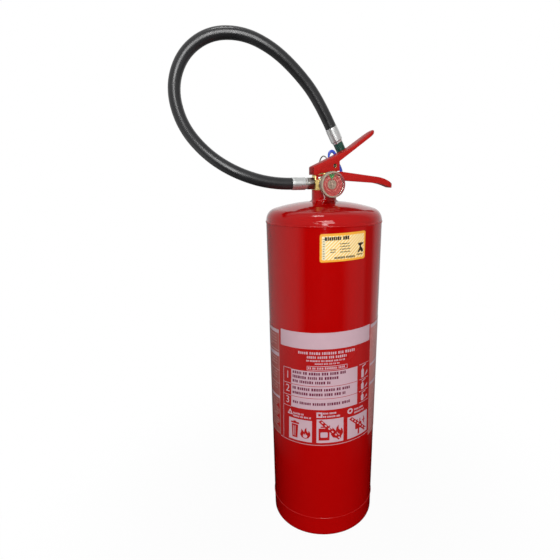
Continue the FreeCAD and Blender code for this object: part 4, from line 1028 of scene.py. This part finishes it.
def picture_details(label, pale, red):
    """Three pictures with their round, square and round marks and caption lines."""
    draw = random.Random(5)
    panels = ((-62.8, -22.0, 222.5), (-14.8, 28.0, 226.0), (34.8, 77.4, 223.0))
    captions = (((-54.5, -34, 232.0), (-54.5, -22, 227.2)), ((-4.6, 16, 236.4), (-4.6, 24, 230.6)),
                ((47.4, 67, 234.2), (47.4, 70, 228.4)))
    for (left, right, top), lines in zip(panels, captions):
        label.add(rectangle(left, right, 183.2, top), pale)
        for start, end, height in lines:
            label.add_all(word_marks(start, end, height, 3.1, draw), pale)
    label.add([(-66.0, 228.2), (-55.0, 228.2), (-60.5, 238.4)], pale)
    label.add([(-62.6, 230.0), (-58.4, 230.0), (-60.5, 234.2)], red)
    label.add(disc(39.6, 233.8, 5.0), pale)
    label.add(disc(39.6, 233.8, 2.3), red)
    label.add(rectangle(-15.0, -5.6, 229.0, 238.4), pale)
    label.add(rectangle(-12.3, -8.3, 231.7, 235.7), red)
    label.add([(-57.5, 212), (-56, 187.5), (-46.5, 187.5), (-45, 212)], red)
    label.add(rounded(-59, -43.5, 213.2, 216.4, 1.2), red)
    label.add(rounded(-54, -48.5, 216.4, 218.2, 0.6), red)
    for u in (-53.8, -50.9):
        label.add(rectangle(u - 0.5, u + 0.5, 190.5, 209), pale)
    label.add(flame(-33.0, 198, 19), red)
    label.add(flame(-33.2, 194, 8), pale)
    label.add([(-11.5, 187.5), (5.5, 187.5), (5.5, 204), (0.5, 209.5), (-11.5, 209.5)], red)
    label.add(rounded(-8.5, 0.5, 211, 213.2, 0.9), red)
    label.add([(3.2, 209.2), (7.0, 213.6), (5.6, 215.0), (1.8, 211.0)], red)
    label.add(rounded(-8.6, 2.6, 193, 202.5, 1.5), pale)
    label.add(flame(17.5, 201, 22), red)
    label.add(flame(17.3, 196, 9), pale)
    label.add(rounded(49.5, 63.5, 196, 208, 2.5), red)
    label.add(rectangle(54.8, 58.2, 186, 196), red)
    for u in (52.6, 58.6):
        label.add(rounded(u, u + 1.9, 208, 214.5, 0.7), red)
    label.add([(67.5, 217), (71.6, 206.4), (68.8, 206.8), (71.4, 197.5), (64.6, 209.4), (67.4, 208.8)], red)
    for (left, right, top), (start, end) in zip(panels[1:], ((-12, 24), (38, 74))):
        label.add([(start, top - 4), (start + 5, top - 1), (end + 1, 190.5), (end - 4, 186.5)], red)
        for step in range(6):
            u = start + 4.2 + (end - start - 6) * step / 5.6
            v = top - 5.2 - (top - 193) * step / 5.6
            label.add([(u, v), (u + 1.7, v + 1.4), (u + 4.1, v - 1.2), (u + 2.4, v - 2.6)], pale)


def side_figures(label, pale):
    """Small pictures beside the rows: bottles with their levers and a jet."""
    for low, high in STEP_ROWS:
        height = high - low
        label.add(rounded(61.5, 67.5, low + 2.2, low + height * 0.66, 1.8), pale)
        label.add(rectangle(63.6, 65.4, low + height * 0.66, low + height * 0.76), pale)
        label.add([(63.0, low + height * 0.78), (72.5, low + height * 0.90), (72.0, low + height * 0.96),
                   (63.0, low + height * 0.86)], pale)
        label.add([(69.5, low + 3.0), (76.5, low + height * 0.30), (76.5, low + height * 0.52),
                   (69.8, low + 4.2)], pale)


SIDE_FOOT = 174.5
# Each side label's top, its ends at the foot and at the top, its pale bands and its thin rules, in mm.
SIDE_LAYOUTS = {
    "left": (363.5, ((-46.0, 48.0), (-46.0, 51.0)), ((356.8, 362.0), (317.4, 323.6), (242.2, 246.6)),
             (326.5, 292.4, 268.6)),
    "right": (374.5, ((-51.0, 46.0), (-56.5, 46.0)), ((368.3, 373.4), (303.0, 307.0), (268.0, 273.0)),
              (329.5, 221.0)),
}


def side_label(side, centre, settings, radius, materials, seed):
    """Label with a ground paler and pinker than the front label's red, with pale bands, thin rules and
    paragraphs of fine print between them.
    """
    draw = random.Random(seed)
    film, pale, faint, red = 0, 1, 2, 3
    top, ends, bands, rules = SIDE_LAYOUTS[side]
    label = Label(side + "_text_label", side + "_label", centre, settings.lean, foot=LABEL_FOOT)

    def edges(v):
        """Left and right end of the label at a height."""
        part = (v - SIDE_FOOT) / (top - SIDE_FOOT)
        return [foot + (head - foot) * part for foot, head in zip(*ends)]

    def strip(low, high, inset, index):
        (left_low, right_low), (left_high, right_high) = edges(low), edges(high)
        label.add([(left_low + inset, low), (right_low - inset, low),
                   (right_high - inset, high), (left_high + inset, high)], index)

    strip(SIDE_FOOT, top, 0.0, film)
    strip(SIDE_FOOT + 1.7, top - 0.8, 0.8, faint)
    strip(SIDE_FOOT + 2.4, top - 1.4, 1.5, film)
    for low, high in bands:
        strip(low, high, 0.8, pale)
    for low in rules:
        strip(low, low + 1.5, 0.8, faint)
    stops = sorted([SIDE_FOOT + 4, top - 4, *rules, *sum(bands, ())])
    left, right = ends[0][0] + 4, ends[0][1] - 5
    for low, high in zip(stops, stops[1:]):
        height = high - 4.2
        while height > low + 5:
            last = right if height > low + 9 else left + (right - left) * draw.uniform(0.3, 0.8)
            label.add_all(word_marks(left, last, height, 2.0, draw, 0.3), faint)
            height -= 4.9
    for low in (226.0, 206.0, 190.0):
        label.add([(right - 8, low), (right + 3.8, low - 3), (right + 3.8, low + 8)], red)
    return label.build(settings.film, radius, "label_film", materials)


def inspection_sticker(settings, radius, materials):
    """Yellow service sticker with an orange border and bare print lines."""
    draw = random.Random(23)
    border, field, ink, strip = 0, 1, 2, 3
    label = Label("service_sticker", "inspection_sticker", settings.sticker_turn, settings.sticker_lean)
    level = label.middle

    def row(left, right, rise, size, gap=0.2):
        label.add_all(word_marks(left, right, level + rise, size, draw, gap), ink)

    label.add(rounded(-35.4, 35.4, level - 19.9, level + 19.9, 3.0), border)
    label.add(rounded(-32.4, 32.6, level - 16.9, level + 16.5, 1.4), field)
    label.add(rectangle(-31.8, -27.2, level - 16.4, level + 15.6), strip)
    row(-28.4, 9.4, 13.0, 5.2, 0.11)
    for left, right, rise in ((-6.6, 7.5, 5.0), (-6.0, 9.0, 1.2), (-6.6, 9.0, -2.6), (-6.6, 9.0, -6.6)):
        row(left, right, rise, 1.5)
    for left, right, rise in ((-20.5, -12.8, -2.6), (-20.5, -12.8, -6.0)):
        row(left, right, rise, 1.7)
    row(-14.4, 17.0, -14.4, 3.0)
    row(20.0, 31.0, -12.6, 2.0)
    for step in range(9):
        row(-31.0, -28.0, -14.5 + step * 3.4, 1.2)
    figure = ((22.0, 3.6), (31.4, 3.6), (31.4, 1.4), (28.4, 1.0), (27.4, -1.6), (30.8, -5.6), (31.6, -9.6),
              (27.6, -9.6), (26.2, -6.6), (24.6, -9.6), (21.0, -9.6), (24.2, -4.6), (25.0, -1.0), (22.0, 1.4))
    label.add([(u, level + rise) for u, rise in figure], ink)
    return label.build(settings.film, radius, "label_film", materials, 3.0)


class EXTINGUISHER_OT_labels(bpy.types.Operator):
    """Print the labels and stick them round the vessel"""
    bl_idname = "extinguisher.labels"
    bl_label = "Labels"

    def execute(self, context):
        settings = context.scene.extinguisher_labels
        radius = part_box("body_shell")[1].x
        red = vinyl("label_red", settings.red)
        pale = vinyl("label_pale", settings.pale)
        ink = vinyl("label_ink", settings.dark, 0.3)
        faint = vinyl("label_fine_print", settings.faint, 0.3)
        front_label(settings, radius, (red, pale, ink))
        side_label("left", settings.left_turn, settings, radius,
                   (vinyl("left_film", settings.left_film), pale, faint, red), 3)
        side_label("right", settings.right_turn, settings, radius,
                   (vinyl("right_film", settings.right_film), pale, faint, red), 8)
        border = vinyl("sticker_border", settings.orange)
        field = hatched("sticker_paper", settings.yellow, settings.hatch, radius, HATCH_PITCH)
        print_ink = vinyl("sticker_ink", settings.black, 0.35)
        strip = vinyl("sticker_strip", settings.strip, 0.35)
        inspection_sticker(settings, radius, (border, field, print_ink, strip))
        return {"FINISHED"}


# --------------------------------------------------------------------- valve
class EXTINGUISHER_OT_valve(bpy.types.Operator):
    """Round the edges of the valve, its stem and its fittings"""
    bl_idname = "extinguisher.valve"
    bl_label = "Valve"

    def execute(self, context):
        edge = context.scene.extinguisher_valve.edge
        for name, node, share in (("brass_valve", "valve_body", 1.0), ("gland_nut", "stem_gland", 1.0),
                                  ("stem_rod", "valve_stem", 0.6), ("hose_spigot", "hose_tail", 0.6),
                                  ("clip_arm", "clip_bracket", 0.8), ("arm_screws", "bracket_screws", 0.7),
                                  ("hose_clip", "nozzle_clip", 1.0)):
            soft_edged(name, node, edge * share)
        return {"FINISHED"}


# --------------------------------------------------------------------- grips
def rivet(name, side):
    """Domed head of the rivet that holds the handle's cheek to the valve, under the lever's pivot."""
    radius, rise, beyond, below = 0.0034, 0.0020, 0.0015, 0.0129
    pivot, cheek = middle("pivot_pin"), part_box("carry_handle")[1].y
    dome = [(r * radius, z * rise) for r, z in arc_points((0, 0), 1.0, 0, 75, 5)]
    place = along((pivot.x + beyond, cheek * side, pivot.z - below), AXIS_Y * side)
    piece = turned(name, [(0.0, 0.0), *dome, (0.0, rise)], place, 40, closed=False)
    piece.data.materials.append(finish_for("gauge_metal"))
    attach(piece, "extinguisher")


class EXTINGUISHER_OT_grips(bpy.types.Operator):
    """Round the pressed edges of the lever and the carrying handle"""
    bl_idname = "extinguisher.grips"
    bl_label = "Lever and handle"

    def execute(self, context):
        edge = context.scene.extinguisher_grips.edge
        soft_edged("squeeze_lever", "trigger_lever", edge)
        soft_edged("lifting_handle", "carry_handle", edge)
        soft_edged("lever_rivet", "pivot_pin", edge * 0.8)
        soft_edged("grip_screws", "handle_screws", edge * 0.5)
        rivet("left_rivet", -1)
        rivet("right_rivet", 1)
        return {"FINISHED"}


# ----------------------------------------------------------------------- pin
# Points of the seal's loop: across and above the pin's axis, in millimetres. It starts in the pin's eye.
SEAL_ROUTE = ((0.0, 0.0), (-0.4, 12.0), (0.8, 20.0), (6.6, 22.4), (10.8, 17.0), (13.8, 7.0), (19.0, -2.0),
              (21.8, -9.0), (17.6, -16.0), (8.0, -17.5), (1.0, -10.0))


def seal_strap(settings):
    """Moulded strap of the tamper seal, thinner where it passes the pin's eye."""
    pin, level = middle("safety_pin"), middle("tamper_seal").y
    places = [(pin.x + across * MM, level, pin.z + rise * MM) for across, rise in SEAL_ROUTE]
    curve, spline = round_line("seal_strap", settings.strap, places, 6, 14)
    spline.use_cyclic_u = True
    for index in (0, 1, -1):
        spline.points[index].radius = settings.strap_eye / settings.strap
    loop = bpy.data.objects.new("seal_loop", curve)
    mesh = bpy.data.meshes.new_from_object(loop)
    bpy.data.objects.remove(loop)
    bpy.data.curves.remove(curve)
    smooth(mesh, 60)
    strap = link(bpy.data.objects.new("seal_strap", mesh))
    return finished(strap, "tamper_seal", "seal_blue")


class EXTINGUISHER_OT_pin(bpy.types.Operator):
    """Round the safety pin and put on its tamper seal"""
    bl_idname = "extinguisher.pin"
    bl_label = "Safety pin"

    def execute(self, context):
        settings = context.scene.extinguisher_pin
        soft_edged("locking_pin", "safety_pin", settings.edge)
        seal_strap(settings)
        return {"FINISHED"}


# --------------------------------------------------------------------- gauge
def dial(settings):
    """Round scale plate: a red field, a green working field, ticks and plain numbers."""
    low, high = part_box("gauge_dial")
    centre = middle("gauge_dial")
    radius = (high.x - low.x) / 2 / MM
    red, green, pale, circle = 0, 1, 2, 3
    wedge = [(u * radius, v * radius) for u, v in ((-0.36, 0.92), (0.02, 0.38), (0.32, 0.92))]
    shapes = [(disc(0, 0, radius, 96), red), (sector(radius * 0.56, radius * 0.62, -168, 168, 90), circle),
              (wedge, green), (sector(radius * 0.905, radius * 0.935, -92, 62, 60), pale)]
    for step in range(11):
        turn = -90 + 15 * step
        inner = 0.80 if step % 2 == 0 else 0.85
        shapes.append((sector(radius * inner, radius * 0.905, turn - 0.9, turn + 0.9, 2), pale))
    for number, turn in (("0", -90), ("5", -60), ("10", -30), ("20", 30), ("25", 60)):
        u, v = arc_points((0, 0), radius * 0.66, 90 - turn, 90 - turn, 1)[0]
        shapes += [(outline, pale) for outline in figures(number, u, v, radius * 0.13)]

    def face(depth):
        return lambda u, v: (centre.x + u * MM, depth, centre.z + v * MM)

    piece = printed("scale_plate", shapes, face(low.y), face(high.y))
    tints = ("red", "green", "pale", "circle")
    materials = [plastic("dial_" + tint, getattr(settings, tint), 0.4) for tint in tints]
    return finished(piece, "gauge_dial", "dial_print", *materials)


class EXTINGUISHER_OT_gauge(bpy.types.Operator):
    """Print the gauge's dial and round its case"""
    bl_idname = "extinguisher.gauge"
    bl_label = "Gauge"

    def execute(self, context):
        settings = context.scene.extinguisher_gauge
        dial(settings)
        soft_edged("gauge_cup", "gauge_case", settings.edge)
        return {"FINISHED"}


# --------------------------------------------------------------------- nodes
class EXTINGUISHER_OT_nodes(bpy.types.Operator):
    """Give every CAD node that still shows the finish of its slot"""
    bl_idname = "extinguisher.nodes"
    bl_label = "Remaining nodes"

    def execute(self, context):
        for node in frame["nodes"].values():
            if node.hide_render:
                continue
            finish = finish_for(slot_of(node))
            for place in node.material_slots:
                place.material = finish
        return {"FINISHED"}


# --------------------------------------------------------------------- panel
class EXTINGUISHER_PT_build(bpy.types.Panel):
    bl_label = "Extinguisher"
    bl_space_type = "VIEW_3D"
    bl_region_type = "UI"
    bl_category = "Extinguisher"

    def draw(self, context):
        layout = self.layout
        for operator in OPERATORS:
            box = layout.box()
            box.operator(operator.bl_idname)
            settings = getattr(context.scene, operator.bl_idname.replace(".", "_"), None)
            if settings:
                for name in settings.__annotations__:
                    box.prop(settings, name)


SETTINGS = {
    "extinguisher_stage": StageSettings,
    "extinguisher_hose": HoseSettings,
    "extinguisher_vessel": VesselSettings,
    "extinguisher_labels": LabelSettings,
    "extinguisher_valve": ValveSettings,
    "extinguisher_grips": GripSettings,
    "extinguisher_pin": PinSettings,
    "extinguisher_gauge": GaugeSettings,
}
OPERATORS = (
    EXTINGUISHER_OT_stage, EXTINGUISHER_OT_hose, EXTINGUISHER_OT_vessel, EXTINGUISHER_OT_labels,
    EXTINGUISHER_OT_valve, EXTINGUISHER_OT_grips, EXTINGUISHER_OT_pin, EXTINGUISHER_OT_gauge,
    EXTINGUISHER_OT_nodes,
)


def register():
    for settings in SETTINGS.values():
        bpy.utils.register_class(settings)
    for operator in (*OPERATORS, EXTINGUISHER_PT_build):
        bpy.utils.register_class(operator)
    for name, settings in SETTINGS.items():
        setattr(bpy.types.Scene, name, PointerProperty(type=settings))


def unregister():
    for name in SETTINGS:
        delattr(bpy.types.Scene, name)
    for kind in (EXTINGUISHER_PT_build, *reversed(OPERATORS), *reversed(SETTINGS.values())):
        bpy.utils.unregister_class(kind)


def main():
    register()
    bpy.ops.extinguisher.stage()
    bpy.ops.extinguisher.hose()
    bpy.ops.extinguisher.vessel()
    bpy.ops.extinguisher.labels()
    bpy.ops.extinguisher.valve()
    bpy.ops.extinguisher.grips()
    bpy.ops.extinguisher.pin()
    bpy.ops.extinguisher.gauge()
    bpy.ops.extinguisher.nodes()


if __name__ == "__main__":
    main()
